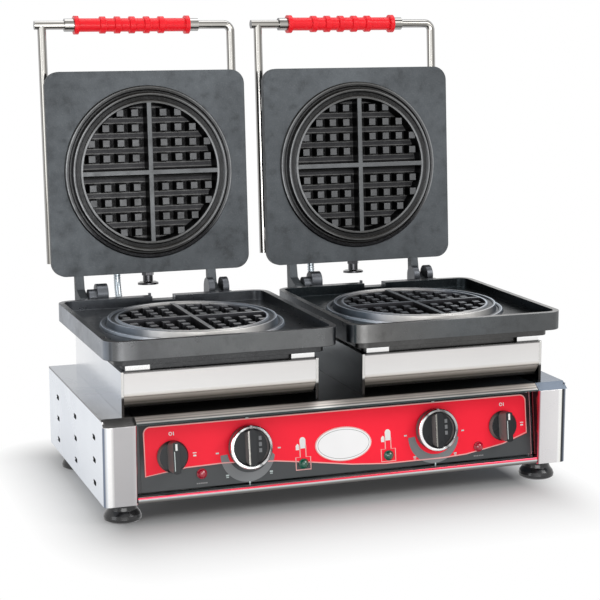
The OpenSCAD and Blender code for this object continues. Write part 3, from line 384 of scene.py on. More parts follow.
def box_painted_light(rear, front):
    """A heater box's side with painted light shading along its depth; the wall ends under the front band are dim
    with painted shade.
    """
    low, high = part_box("left_heater_box")

    def tone_of(shader):
        depth = shader.along(1, high.y, low.y)
        side = shader.ramp(depth, rear, front, 0.0, 1.0)
        ends = shader.rise(shader.flip(shader.facing()[1]), 0.6, 0.9)
        beneath = shader.along(2, *(BOX_TOP_Z - fall for fall in WALL_BAND))
        end = shader.blend(beneath, (0.7, 0.69, 0.67), (0.03, 0.027, 0.025))
        return shader.blend(ends, side, end)
    return tone_of


def rail_painted_reflection(shader):
    """The lower rail's polished fold, with the red label's reflection and the shade under the rail painted into
    its colour.
    """
    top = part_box("front_rail")[1].z
    rise = shader.along(2, top - RAIL_FOLD, top)
    return shader.stops(
        rise, (0.0, 0.1, 0.095, 0.09), (0.3, 0.25, 0.24, 0.23), (0.42, 0.55, 0.62, 0.62),
        (0.55, 0.75, 0.82, 0.82), (0.63, 0.85, 0.06, 0.11), (0.82, 0.8, 0.04, 0.08),
        (0.9, 0.12, 0.15, 0.15), (1.0, 0.35, 0.4, 0.4)
    )


def coated_panel_painted_reflection():
    """The panel's dark coating; on its margin at the right the fold beside it is painted in as upright streaks of
    reflection.
    """
    shader = Shader("panel_metal").set(Metallic=0.0, Specular_IOR_Level=0.3)
    margin = shader.along(0, (LABEL_HALF + 0.5) * MM, RECESS_X)
    tone = shader.stops(
        margin, (0.0, 0.02, 0.021, 0.023), (0.1, 0.12, 0.15, 0.155), (0.24, 0.06, 0.07, 0.072),
        (0.3, 0.95, 0.9, 0.9), (0.42, 0.95, 0.7, 0.7), (0.48, 0.1, 0.02, 0.03), (0.6, 0.9, 0.06, 0.12),
        (0.74, 1.0, 0.6, 0.62), (0.84, 0.9, 0.3, 0.35), (0.92, 0.2, 0.01, 0.02), (1.0, 0.7, 0.04, 0.08)
    )
    return steel_grain(shader, tone, 0.3, (60, 60, 1), 0.0004)


def cheek_steel(name, streaks, flange_stops, turn, cap):
    """A cheek of the base with painted light: a bluish side, painted reflection in bands round its corner and on
    its top, and a fold with the label's reflection painted on.
    """
    shader = metal(name)
    y, z = shader.facing()[1:]
    height = shader.along(2, 0.02, BASE_TOP_Z)
    # painted shade: the side darker towards the bottom, with a dark band along its top edge
    side_tone = shader.stops(
        height, (0.0, 0.74, 0.78, 0.84), (0.5, 0.84, 0.88, 0.94), (0.975, 0.84, 0.88, 0.94),
        (0.983, 0.1, 0.1, 0.11)
    )
    # painted reflection round the corner: a dark band, then a bright highlight
    corner = shader.stops(shader.flip(y), (0.0, 1), (0.06, 1), *turn)
    tone = shader.multiply(side_tone, corner)
    # the flange fades from painted highlight and shade beside the corner to a plain grey
    inset = shader.math("SUBTRACT", -CHEEK_LOW.x, shader.unsigned(shader.place()[0]))
    flange = shader.stops(shader.times(inset, 1 / FLANGE_WIDE), *flange_stops)
    front = shader.rise(shader.flip(y), 0.9, 0.98)
    tone = shader.blend(front, tone, flange)
    # the top in painted reflection, shading along its depth
    depth = shader.along(1, FRONT_Y, -FRONT_Y)
    up = shader.rise(z, 0.4, 0.8)
    tone = shader.blend(up, tone, shader.ramp(depth, *cap, 0.0, 0.3))
    # painted reflection of the label: red and pale streaks where the fold turns in towards the label
    recess = shader.rise(inset, *FLANGE_END)
    inward = shader.math("SUBTRACT", 1.0, shader.unsigned(y))
    upright = shader.fall(z, 0.3, 0.6)
    tone = shader.blend(shader.times(recess, upright), tone, shader.stops(inward, *streaks))
    lines = shader.noise(*BRUSHED, (60, 1, 60))
    clouds = shader.noise(9, 3, 0.6)
    tone = shader.blend(shader.span(clouds, 0.0, 0.12, 0.4, 0.65), tone, (0.35, 0.38, 0.45))
    shader.color(shader.blend(shader.span(lines, 0.0, 0.04), tone, (0.4, 0.4, 0.42)))
    satin = shader.span(clouds, 0.22, 0.3)
    shader.roughness(shader.math("ADD", satin, shader.times(recess, -0.14)))
    return shader.relief([(lines, 0.05, 0.0002)], SHEET_EDGE)


def casting(name, tone_of, roughness, grain, speckle=1.0):
    """Seasoned cast iron: clouds over its tone, darker blots and pale sandy grains."""
    shader = metal(name)
    sand = shader.noise(900, 4, 0.7)
    clouds = shader.noise(16, 5, 0.62)
    blots = shader.noise(75, 3, 0.55)
    tone = shader.blend(shader.span(clouds, 0.0, 0.3, 0.35, 0.7), tone_of(shader), (0.02, 0.02, 0.021))
    tone = shader.blend(shader.span(blots, 0.0, 0.3 * speckle, 0.56, 0.8), tone, (0.03, 0.029, 0.028))
    shader.color(shader.blend(shader.span(sand, 0.0, 0.12 * speckle, 0.5, 0.8), tone, grey(0.5)))
    shader.roughness(shader.span(blots, roughness * 0.88, roughness * 1.15))
    return shader.relief([(sand, grain, 0.0003), (blots, 0.05 * speckle, 0.0006)], 0.0009)


def cloudy_tone(scale, low, high):
    """Faint clouds between two tones."""
    def tone_of(shader):
        return shader.ramp(shader.noise(scale, 2, 0.5), low, high, 0.35, 0.65)
    return tone_of


def tray_painted_light(node, left, middle, right, flank, oil_and_shade):
    """A lower plate with painted light: front face shading from left to right with painted highlights at its
    corners, a flank in painted reflection, painted shade below the tray, a rim pale partly from wear and partly
    from painted highlight, and a floor dark partly from oil and partly from painted shade.
    """
    low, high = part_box(node)
    center = (low + high) / 2
    inner = (high.x - low.x) / 2 - RIM_WIDE

    def tone_of(shader):
        x, _, z = shader.facing()
        place = shader.place()
        front = shader.stops(
            shader.along(0, low.x, high.x), (0.0, *tint(left, 0.9)), (0.03, *tint(left, 1.4)),
            (0.07, *tint(left, 2.0)), (0.14, *left), (0.5, *middle), (0.97, *right),
            (1.0, *tint(right, 1.5))
        )
        tone = shader.blend(shader.rise(shader.unsigned(x), 0.55, 0.95), front, flank)
        off_x, off_y = (shader.unsigned(shader.math("SUBTRACT", place[i], center[i])) for i in (0, 1))
        within = shader.fall(shader.math("MAXIMUM", off_x, off_y), inner - 0.001, inner)
        above = shader.along(2, *(high.z - drop for drop in TRAY_HIGH))
        tone = shader.blend(shader.times(within, above), tone, tint(oil_and_shade, 1.6))
        # painted shade below the tray's underside
        tone = shader.blend(above, tint(left, 0.6), tone)
        # the rim's top pale partly from wear and partly from painted highlight, down to the floor's oil and
        # painted shade
        depth = shader.along(2, *(high.z - drop for drop in RIM_ROUND))
        level = shader.stops(depth, (0.0, *tint(left, 1.75)), (0.5, *tint(middle, 0.9)), (1.0, *oil_and_shade))
        return shader.blend(shader.rise(z, 0.45, 0.9), tone, level)
    return tone_of


def chrome_painted_reflections(name):
    """Plated rod with painted reflections: a warm bright line between dark bands, set by how squarely each point
    faces, with a trace of fingerprints.
    """
    shader = metal(name)
    smear = shader.noise(70, 3, 0.6)
    around = shader.node("ShaderNodeLayerWeight")
    around.inputs["Blend"].default_value = 0.5
    bands = shader.stops(
        around.outputs["Facing"], (0.0, 0.85, 0.83, 0.79), (0.03, 0.62, 0.6, 0.56), (0.1, 0.24, 0.23, 0.21),
        (0.24, 0.12, 0.115, 0.11), (0.36, 0.4, 0.39, 0.37), (0.5, 0.5, 0.49, 0.48),
        (0.68, 0.14, 0.14, 0.145), (1.0, 0.08)
    )
    shader.color(shader.blend(shader.span(smear, 0.0, 0.12), bands, grey(0.4)))
    shader.roughness(shader.span(smear, 0.06, 0.13))
    return shader.relief([(smear, 0.02, 0.0002)], 0.0003)


def bezel_painted_light(side):
    """A knob's bezel in painted reflection: bright to the left and below, dim above and to the right."""
    shader = metal(side + "_bezel_painted_light")
    axis = DIAL_AXIS[side]
    place = shader.parts(shader.position((1 / 0.02,) * 3, (0, 0, 0), tuple(-axis / 0.02)))
    lean = shader.math("ADD", shader.times(place[0], -0.8), shader.times(place[2], -0.5))
    around = shader.rise(lean, -1.1, 1.1)
    smear = shader.noise(90, 2, 0.5)
    tone = shader.stops(
        around, (0.0, 0.5), (0.1, 0.12), (0.3, 0.3, 0.28, 0.28), (0.45, 0.6), (0.52, 0.2), (0.62, 0.85),
        (1.0, 1)
    )
    shader.color(shader.blend(shader.span(smear, 0.0, 0.1), tone, grey(0.4)))
    shader.roughness(shader.span(smear, 0.1, 0.18))
    return shader.relief([(smear, 0.02, 0.0002)], 0.0004)


def moulded_plastic(name, color, roughness, coat=0.0, edge=0.0006, speckle=0.25, sheen=0.4):
    """Moulded plastic: fine spark-eroded texture and slight flow marks."""
    shader = Shader(name).set(Coat_Weight=coat, Coat_Roughness=0.08, Specular_IOR_Level=sheen)
    fine = shader.noise(1400, 2, 0.5)
    flow = shader.noise(30, 3, 0.5)
    shader.color(shader.ramp(flow, tint(color, 1 - speckle * 0.4), color))
    shader.roughness(shader.span(flow, roughness * 0.9, roughness * 1.1))
    return shader.relief([(fine, 0.05, 0.0001)], edge)


def knob_plastic_painted_sheen():
    """Black knob plastic with a warm grey highlight painted on its left-facing flanks."""
    shader = Shader("black_plastic").set(Specular_IOR_Level=0.22)
    fine = shader.noise(1400, 2, 0.5)
    flow = shader.noise(30, 3, 0.5)
    body = shader.ramp(flow, (0.014, 0.015, 0.017), (0.018, 0.02, 0.022))
    # painted highlight on the flanks that face left
    left = shader.rise(shader.flip(shader.facing()[0]), 0.3, 0.8)
    shader.color(shader.blend(left, body, (0.17, 0.15, 0.145)))
    shader.roughness(shader.span(flow, 0.26, 0.32))
    return shader.relief([(fine, 0.05, 0.0001)], 0.0006)


def printed_film(name, color, roughness=0.4):
    """Printed polycarbonate film with its fine velvet texture."""
    shader = Shader(name).set(Specular_IOR_Level=0.12)
    fine = shader.noise(1800, 2, 0.5)
    clouds = shader.noise(14, 2, 0.5)
    shader.color(shader.ramp(clouds, tint(color, 0.95), color))
    shader.roughness(shader.span(fine, roughness * 0.9, roughness * 1.1))
    return shader.relief([(fine, 0.04, 0.0001)], 0.0002)


def grey_band():
    """The label's lower print: dark grey, fading to black up its sides."""
    shader = Shader("grey_band").set(Specular_IOR_Level=0.2)
    fine = shader.noise(1800, 2, 0.5)
    fade = shader.along(2, LABEL_MIDDLE.z + 0.02, LABEL_MIDDLE.z + 0.045)
    shader.color(shader.blend(fade, (0.062, 0.066, 0.069), (0.006, 0.006, 0.007)))
    shader.roughness(shader.span(fine, 0.3, 0.38))
    return shader.relief([(fine, 0.04, 0.0001)], 0.0002)


def rubber(name):
    """Dusty black rubber with a soft shine."""
    shader = Shader(name).set(Specular_IOR_Level=0.5)
    color = (0.012, 0.012, 0.013)
    fine = shader.noise(700, 3, 0.6)
    dust = shader.noise(35, 3, 0.6)
    shader.color(shader.ramp(dust, color, tint(color, 2.2), 0.45, 0.8))
    shader.roughness(shader.span(dust, 0.16, 0.24))
    return shader.relief([(fine, 0.03, 0.0001)], 0.001)


def lens(name, color):
    """Ribbed pilot-lamp lens, deep coloured and glossy."""
    shader = Shader(name).set(Roughness=0.12, Coat_Weight=0.6, Coat_Roughness=0.04)
    ribs = shader.noise(300, 1, 0.5)
    shader.color(shader.ramp(ribs, tint(color, 0.8), color))
    return shader.relief([(ribs, 0.004, 0.0001)], 0.0004)


def mineral_wool(name):
    """Black-faced insulating board."""
    shader = Shader(name).set(Roughness=0.95)
    fibres = shader.noise(300, 5, 0.75, (1, 1, 6))
    shader.color(shader.ramp(fibres, (0.012, 0.011, 0.01), (0.03, 0.028, 0.026)))
    return shader.relief([(fibres, 0.6, 0.001)], 0.001)


# ---- baking discs

PEG_PITCH = 19.0
ROW_SHIFT = 0.5
HOLLOW_EDGE = (87.5, 88.5)  # radii
RING_RADII = (86.0, 112.0)
HOLLOW_DEEP = 12
LID_TILT = -(math.pi - LID_TURN)
# painted black shade for the gaps between pegs, under the lowest rings and on flanks facing down
PAINTED_DEEP_SHADE = (0.008, 0.008, 0.009)


def disc_place(node, turn_x):
    """Turn and shift that put a baking disc's middle at zero with its rim at z = 0, in millimetres."""
    turn = Matrix.Rotation(turn_x, 3, "X")
    points = [turn @ vertex.co for vertex in NODES[node].data.vertices]
    top = max(p.z for p in points)
    return (turn_x, 0, 0), (-mid(points, 0) / MM, -mid(points, 1) / MM, -top / MM)


def disc_parts(shader, place):
    """Across, along, depth below the rim and distance from the middle of a disc, in millimetres."""
    turn, shift = place
    across, along, up = shader.parts(shader.position((1 / MM,) * 3, turn, shift))
    square = shader.math("ADD", shader.times(across, across), shader.times(along, along))
    return across, along, shader.flip(up), shader.math("SQRT", square)


def over_radius(shader, way, radius):
    """The cosine between a direction and the way out from the middle."""
    return shader.math("DIVIDE", way, shader.math("MAXIMUM", radius, 1.0))


def ring_bands(shader, radius):
    """Painted highlights along the three crests of the rings, painted shade between them."""
    levels = (
        (0.0, 0.5), (0.07, 0.7), (0.09, 1.0), (0.14, 0.85), (0.18, 0.42), (0.225, 0.16), (0.39, 0.13),
        (0.43, 0.32), (0.48, 0.45), (0.505, 1.0), (0.54, 1.0), (0.575, 0.28), (0.68, 0.18), (0.72, 0.32),
        (0.8, 0.36), (0.84, 1.0), (0.9, 1.0), (0.93, 0.4)
    )
    return shader.stops(shader.rise(radius, *RING_RADII), *levels)


def row_step(shader, along):
    """Distance from the middle of the nearest row of pegs."""
    shifted = shader.math("ADD", shader.unsigned(along), ROW_SHIFT)
    return shader.math("PINGPONG", shifted, PEG_PITCH / 2)


def channel_edges(shader, along, radius):
    """Painted highlight lines along both edges of the channels between the rows of pegs."""
    step = row_step(shader, along)
    line = shader.times(shader.rise(step, 5.9, 6.2), shader.fall(step, 7.0, 7.3))
    return shader.times(line, shader.fall(radius, 84.0, 85.0))


def row_mask(shader, along, radius):
    """One between the pegs of a row, nothing in the channels between rows."""
    row = shader.fall(row_step(shader, along), 4.4, 6.4)
    return shader.times(row, shader.fall(radius, 87.0, 88.5))


def lower_disc_painted_light(node, flank, hollow_top, hollow_floor, gap):
    """Painted highlights on the crests, a glossy foot with a painted highlight at the front that shades round to
    blue grey in painted reflection, darkness into the hollow partly from residue and partly painted shade, and
    black painted shade in the gaps between pegs.
    """
    place = disc_place(node, 0.0)

    def tone_of(shader):
        y, z = shader.facing()[1:]
        _, along, depth, radius = disc_parts(shader, place)
        foot = shader.stops(
            shader.flip(y), (0.0, *tint(flank, 0.6)), (0.3, *flank), (0.5, *tint(flank, 0.8)),
            (0.62, 0.22, 0.235, 0.26), (0.8, 0.58, 0.57, 0.56), (0.95, 0.88, 0.86, 0.83),
            (1.0, 0.7, 0.68, 0.65)
        )
        front = shader.flip(over_radius(shader, along, radius))
        crest = shader.stops(
            shader.rise(front, -1.0, 1.0), (0.0, 0.22, 0.23, 0.25), (0.3, 0.34, 0.37, 0.42),
            (0.5, 0.68, 0.76, 0.86), (0.7, 0.6, 0.66, 0.73), (0.85, 0.62, 0.65, 0.7), (1.0, 0.8, 0.79, 0.77)
        )
        rim = shader.multiply(crest, ring_bands(shader, radius))
        hollow = shader.stops(
            shader.times(depth, 1 / HOLLOW_DEEP), (0.0, *hollow_top), (0.14, *tint(hollow_top, 0.75)),
            (0.32, *hollow_floor), (1.0, *tint(hollow_floor, 0.6))
        )
        inside = shader.fall(radius, *HOLLOW_EDGE)
        upright = shader.blend(inside, foot, (0.04, 0.04, 0.045))
        tone = shader.blend(shader.rise(z, 0.3, 0.75), upright, shader.blend(inside, rim, hollow))
        low = shader.times(shader.span(depth, 0.0, gap, 2.0, 5.5), row_mask(shader, along, radius))
        return shader.blend(low, tone, PAINTED_DEEP_SHADE)
    return tone_of


def bar_shadow(shader, across, along):
    """The strips below the level bar and right of the upright one."""
    below = shader.times(shader.rise(along, -8.5, -6.5), shader.fall(along, 2.0, 2.5))
    beside = shader.times(shader.span(across, 0.0, 0.6, -2.0, -1.5), shader.fall(across, 6.0, 8.0))
    return shader.math("MAXIMUM", below, beside)


def upper_rings(shader, across, along, radius):
    """An upper disc's rings: fine painted highlights on the crests to the sides, painted shadow under the lower
    ones, painted shade on flanks facing down.
    """
    y, z = shader.facing()[1:]
    lean = shader.unsigned(over_radius(shader, across, radius))
    crest = shader.ramp(lean, (0.09, 0.09, 0.088), (0.24, 0.245, 0.25), 0.25, 0.95)
    ring = shader.multiply(crest, ring_bands(shader, radius))
    lowest = shader.fall(shader.math("DIVIDE", along, radius), -0.75, -0.35)
    ring = shader.blend(shader.times(shader.rise(radius, 103.0, 104.5), lowest), ring, PAINTED_DEEP_SHADE)
    flank = shader.stops(
        shader.rise(z, -1.0, 1.0), (0.0, *PAINTED_DEEP_SHADE), (0.25, 0.02, 0.02, 0.022), (0.5, 0.16, 0.165, 0.17),
        (0.8, 0.07, 0.066, 0.06), (1.0, 0.05, 0.045, 0.04)
    )
    return shader.blend(shader.fall(shader.unsigned(y), 0.55, 0.85), ring, flank)


def upper_hollow(shader, across, along, depth, radius):
    """An upper disc's pegs and channels: painted shade deepening into the hollow and on faces turned down, painted
    highlights along the channel edges, painted shadow under the bars.
    """
    hollow = shader.stops(
        shader.times(depth, 1 / HOLLOW_DEEP), (0.0, 0.125, 0.13, 0.134), (0.12, 0.1, 0.102, 0.105),
        (0.2, 0.12, 0.123, 0.127), (0.36, 0.042, 0.043, 0.045), (1.0, 0.03, 0.03, 0.032)
    )
    deep = shader.rise(depth, 2.0, 3.0)
    edges = shader.times(channel_edges(shader, along, radius), deep)
    hollow = shader.blend(edges, hollow, (0.11, 0.11, 0.108))
    shade = shader.span(shader.facing()[2], 0.3, 1.0, -0.9, -0.2)
    hollow = shader.multiply(hollow, shade)
    return shader.blend(shader.times(bar_shadow(shader, across, along), deep), hollow, grey(0.006))


def upper_disc_painted_light(node):
    """An upper disc with painted light, and black painted shade in the gaps between its pegs."""
    place = disc_place(node, LID_TILT)

    def tone_of(shader):
        across, along, depth, radius = disc_parts(shader, place)
        ring = upper_rings(shader, across, along, radius)
        hollow = upper_hollow(shader, across, along, depth, radius)
        tone = shader.blend(shader.fall(radius, *HOLLOW_EDGE), ring, hollow)
        low = shader.times(shader.span(depth, 0.0, 0.95, 2.2, 5.0), row_mask(shader, along, radius))
        return shader.blend(low, tone, grey(0.003))
    return tone_of


# ---- finishes of the CAD nodes

SMALL_GRAIN = (30, 30, 30)
SMALL_EDGE = 0.0003


def small_steel(name, side, up, roughness):
    """Steel of small parts, grained evenly."""
    return steel(name, facing_painted_tone(side, up), roughness, SMALL_GRAIN, SMALL_EDGE)


RED = (0.98, 0.02, 0.045)
STEEL_DARK = (0.12, 0.12, 0.125)
BRACKET_CLOUDS = ((0.085, 0.09, 0.1), (0.12, 0.127, 0.14))
LID_CLOUDS = ((0.085, 0.093, 0.1), (0.108, 0.118, 0.127))
FINISH = {
    "cheek_steel": steel("rear_steel", facing_painted_tone((0.62, 0.63, 0.64), (0.5, 0.5, 0.52))),
    "cover_steel": steel("cover_steel", cover_painted_light, 0.36),
    "box_steel": heater_front_painted_shade(),
    "lid_steel": steel("lid_steel", facing_painted_tone(grey(0.6), grey(0.6)), 0.26, SHEET_GRAIN, 0.0015),
    "fastener_steel": small_steel("fastener_steel", (0.4, 0.4, 0.41), (0.3, 0.3, 0.31), 0.22),
    "heater_steel": small_steel("heater_steel", STEEL_DARK, STEEL_DARK, 0.5),
    "conduit_steel": small_steel("conduit_steel", (0.36, 0.4, 0.43), grey(0.5), 0.2),
    "chrome": chrome_painted_reflections("chrome"),
    "cast_plate": casting("cast_bracket", cloudy_tone(25, *BRACKET_CLOUDS), 0.35, 0.12),
    "lid_cast": casting("lid_cast", cloudy_tone(5, *LID_CLOUDS), 0.55, 0.25),
    "panel_metal": coated_panel_painted_reflection(),
    "label_print": printed_film("label_print", RED),
    "badge_print": printed_film("badge_print", grey(0.9), 0.35),
    "foot_rubber": rubber("foot_rubber"),
    "black_plastic": knob_plastic_painted_sheen(),
    "terminal_plastic": moulded_plastic("terminal_plastic", (0.75, 0.72, 0.62), 0.4),
    "red_lens": lens("red_lens", (0.42, 0.004, 0.025)),
    "green_lens": lens("green_lens", (0.001, 0.095, 0.055)),
    "insulation": mineral_wool("insulation"),
    "grip_plastic": moulded_plastic("grip_plastic", (0.9, 0.012, 0.022), 0.3, 0.12, 0.0008, 0.15, 0.2),
}
# A cheek's painted light: the label's reflection in streaks on its fold, its flange from the outer edge inwards,
# the reflected bands round its corner, its top
CHEEK_PAINTED_LIGHT = {
    "left": (
        ((0.0, 0.6, 0.59, 0.59), (0.35, 0.5, 0.2, 0.22), (0.7, 0.7, 0.1, 0.15), (1.0, 0.08, 0.05, 0.05)),
        (
            (0.0, 0.95), (0.2, 0.95, 0.94, 0.93), (0.3, 0.46, 0.45, 0.455),
            (0.8, 0.45, 0.44, 0.445), (0.91, 0.52, 0.51, 0.51), (0.95, 0.3), (1.0, 0.2)
        ),
        ((0.16, 0.24, 0.27, 0.33), (0.62, 0.24, 0.27, 0.33), (0.8, 0.8, 0.78, 0.75), (0.93, 1.0)),
        ((0.45, 0.44, 0.43), (0.42, 0.44, 0.47)),
    ),
    "right": (
        (
            (0.0, 0.6, 0.55, 0.55), (0.15, 0.25, 0.03, 0.04), (0.35, 0.8, 0.04, 0.08),
            (0.6, 0.5, 0.02, 0.05), (0.8, 0.9, 0.12, 0.18), (1.0, 0.3, 0.02, 0.04)
        ),
        (
            (0.0, 0.16, 0.18, 0.22), (0.08, 0.16, 0.18, 0.22), (0.1, 0.02, 0.022, 0.022),
            (0.17, 0.02, 0.022, 0.022), (0.19, 0.95, 0.94, 0.88), (0.26, 0.95, 0.95, 0.93),
            (0.31, 0.78, 0.76, 0.76), (1.0, 0.7, 0.68, 0.68)
        ),
        ((0.16, 0.03, 0.035, 0.035), (0.4, 0.03, 0.035, 0.035), (0.55, 0.18, 0.2, 0.24)),
        ((0.2, 0.24, 0.3), (0.12, 0.15, 0.19)),
    ),
}
BOX_SIDE_LIGHT = {  # painted light on each box's side, towards the rear and towards the front; the right box's is dim with painted shade from the left unit
    "left": ((0.93, 0.94, 0.96), (0.66, 0.7, 0.76)),
    "right": ((0.27, 0.29, 0.31), (0.05, 0.055, 0.055)),
}
TRAYS = {  # the front's left, middle and right, the flank in painted reflection, the floor dark from oil and painted shade; the right flank is dim with painted shade from the left unit
    "left": (
        (0.095, 0.097, 0.1), (0.125, 0.129, 0.131), (0.14, 0.143, 0.145), (0.22, 0.245, 0.285),
        (0.06, 0.064, 0.07)
    ),
    "right": (
        (0.135, 0.134, 0.132), (0.105, 0.112, 0.117), (0.1, 0.104, 0.106), (0.09, 0.1, 0.11),
        (0.018, 0.023, 0.026)
    ),
}
LOWER_DISCS = {  # the foot's side in painted reflection, the tops of the pegs, the hollow's floor, how dark the painted shade in the gaps is
    "left": ((0.34, 0.39, 0.46), (0.45, 0.46, 0.47), (0.13, 0.13, 0.135), 0.65),
    "right": ((0.15, 0.185, 0.225), (0.2, 0.22, 0.24), (0.06, 0.062, 0.065), 0.8),
}
NODE_FINISH = {
    "front_rail": steel("rail_steel", rail_painted_reflection, 0.15),
    "plate_tabs": steel("tab_steel", tab_painted_shade, 0.18),
}
STUD_STEEL = small_steel("stud_steel", (0.07, 0.07, 0.075), grey(0.25), 0.2)
for side, _ in SIDES:
    tray, lower, upper = (side + part for part in ("_lower_plate", "_lower_mould", "_upper_mould"))
    NODE_FINISH.update({
        side + "_cheek": cheek_steel(side + "_cheek_steel", *CHEEK_PAINTED_LIGHT[side]),
        side + "_heater_box": steel(side + "_box_steel", box_painted_light(*BOX_SIDE_LIGHT[side]), 0.2),
        side + "_knob_ring": bezel_painted_light(side),
        side + "_stop_stud": STUD_STEEL,
        tray: casting(side + "_tray", tray_painted_light(tray, *TRAYS[side]), 0.3, 0.1),
        lower: casting(side + "_lower_disc", lower_disc_painted_light(lower, *LOWER_DISCS[side]), 0.42, 0.02, 0.25),
        upper: casting(side + "_upper_disc", upper_disc_painted_light(upper), 0.42, 0.1),
    })


def dress(node, slot):
    """Gives a CAD node its finish."""
    data = NODES[node].data
    data.materials.clear()
    data.materials.append(NODE_FINISH.get(node, FINISH[slot]))


for part in frame["record"]["subparts"]:
    dress(part["node"], part["material_slot"])


# ---- pieces in mesh code

FILM = 0.52  # the label's face above the panel, in millimetres
INK = 0.1
INK_LOW, INK_HIGH = FILM - 0.02, FILM + INK


def arc(middle, radius, start, end, steps):
    """Points round an arc, its angles in degrees counted anticlockwise from the right."""
    angles = [math.radians(start + (end - start) * i / steps) for i in range(steps + 1)]
    return [(middle[0] + radius * math.cos(a), middle[1] + radius * math.sin(a)) for a in angles]


def add_slab(mesh, points, low=INK_LOW, high=INK_HIGH):
    """A flat slab over an outline."""
    under = [mesh.verts.new((x, y, low)) for x, y in points]
    over = [mesh.verts.new((x, y, high)) for x, y in points]
    mesh.faces.new(reversed(under))
    mesh.faces.new(over)
    count = len(points)
    for i in range(count):
        j = (i + 1) % count
        mesh.faces.new((under[i], under[j], over[j], over[i]))


def add_stroke(mesh, points, width, low=INK_LOW, high=INK_HIGH, closed=False):
    """A line of one width along points, as a thin slab."""
    count = len(points)
    left, right = [], []
    for i, (x, y) in enumerate(points):
        before = points[(i - 1) % count] if closed or i > 0 else points[i]
        after = points[(i + 1) % count] if closed or i < count - 1 else points[i]
        run = Vector((after[0] - before[0], after[1] - before[1])).normalized()
        left.append((x - run.y * width / 2, y + run.x * width / 2))
        right.append((x + run.y * width / 2, y - run.x * width / 2))
    rows = [[mesh.verts.new((*point, z)) for point in line] for line, z in
            ((left, low), (right, low), (right, high), (left, high))]
    last = count if closed else count - 1
    for i in range(last):
        j = (i + 1) % count
        for k in range(4):
            n = (k + 1) % 4
            mesh.faces.new((rows[k][i], rows[n][i], rows[n][j], rows[k][j]))
    if not closed:
        mesh.faces.new([row[0] for row in reversed(rows)])
        mesh.faces.new([row[-1] for row in rows])


def add_box(mesh, x, y, width, height, low=INK_LOW, high=INK_HIGH):
    """A small upright mark with its middle at x, y."""
    w, h = width / 2, height / 2
    add_slab(mesh, [(x - w, y - h), (x + w, y - h), (x + w, y + h), (x - w, y + h)], low, high)


def finish_piece(name, mesh, matrix, body, slot, material=None, smooth=False):
    """Turns a bmesh in local millimetres into a named piece that rides on a body."""
    bmesh.ops.recalc_face_normals(mesh, faces=mesh.faces)
    data = bpy.data.meshes.new(name)
    mesh.to_mesh(data)
    mesh.free()
    data.transform(matrix)
    data.materials.append(material or FINISH[slot])
    if smooth:
        data.polygons.foreach_set("use_smooth", [True] * len(data.polygons))
    piece = bpy.data.objects.new(name, data)
    bpy.context.scene.collection.objects.link(piece)
    if body:
        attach(piece, body)
    return piece


# ---- the printed label

LABEL_TOP = 74.0
LABEL_CORNER = 8.0
LOWER_EDGE = (
    (-LABEL_HALF, 17.5), (-190, 23.7), (-145, 24.9), (-115, 23.6), (-83, 21.4), (-40, 16), (10, 9), (51, 6),
    (124, 6), (156, 7.7), (205, 16), (LABEL_HALF, 27)
)
INK_PINK = printed_film("ink_pink", (0.85, 0.42, 0.4))
INK_WHITE = printed_film("ink_white", (0.8, 0.8, 0.78))
INK_PALE = printed_film("ink_pale", (0.55, 0.62, 0.61))
INK_GREY = printed_film("ink_grey", (0.215, 0.222, 0.228))
INK_DULL = printed_film("ink_dull", grey(0.3))


def print_piece(name, mesh, material, origin=LABEL_MIDDLE):
    """A print on the label, laid out round an origin."""
    return finish_piece(name, mesh, on_panel(origin), "base", "label_print", material)


def make_grey_band():
    """The grey lower part of the label and its dark margins, just below the red print."""
    mesh = bmesh.new()
    half = RECESS_X / MM - 4.5
    add_slab(mesh, [(-half, 0.8), (half, 0.8), (half, 75.5), (-half, 75.5)], 0.02, FILM - 0.04)
    print_piece("label_band", mesh, grey_band())


def make_outline():
    """The pale pink line round the red print."""
    inset = 0.7
    x, top, r = LABEL_HALF - inset, LABEL_TOP - inset, LABEL_CORNER - inset
    points = [(px, py + inset) for px, py in LOWER_EDGE]
    points[0], points[-1] = (-x, points[0][1]), (x, points[-1][1])
    points += arc((x - r, top - r), r, 0, 90, 8) + arc((r - x, top - r), r, 90, 180, 8)
    mesh = bmesh.new()
    add_stroke(mesh, points, 1.3, closed=True)
    print_piece("label_outline", mesh, INK_PINK)


def make_dial_prints(side):
    """Ticks round a thermostat knob and the wedge that grows below it."""
    ring, drop = 37.0, -5.0
    ticks = bmesh.new()
    for turn in (0, 90, 135, 180, 225, 270):
        a = math.radians(90 - turn)
        x, y = ring * math.cos(a), drop + ring * math.sin(a)
        tall = turn == 180
        add_box(ticks, x, y, 1.6 if tall else 3.6, 3.6 if tall else 1.7)
        if turn in (135, 225):
            add_box(ticks, x, y - 2.2, 3.0, 1.0)
    print_piece(side + "_dial_ticks", ticks, INK_PALE, DIAL_AXIS[side])
    wedge = bmesh.new()
    outer = arc((-1.0, -8.0), 32.5, 180, 352, 32)
    inner = arc((1.2, -3.5), 26.5, 350, 188, 24)
    add_slab(wedge, outer + inner, INK_LOW, FILM + INK * 0.8)
    print_piece(side + "_dial_wedge", wedge, INK_GREY, DIAL_AXIS[side])


def make_switch_prints(side):
    """An open ring above a switch for off and a bar beside it for on."""
    marks = bmesh.new()
    add_stroke(marks, arc((-1.0, 25.5), 1.7, 0, 345, 16), 0.9, closed=True)
    for x, y, width, height in ((2.6, 25.5, 1.0, 4.2), (26.0, 1.6, 4.4, 1.0), (26.0, -1.4, 3.6, 1.8)):
        add_box(marks, x, y, width, height)
    print_piece(side + "_switch_marks", marks, INK_WHITE, SWITCH_AXIS[side])


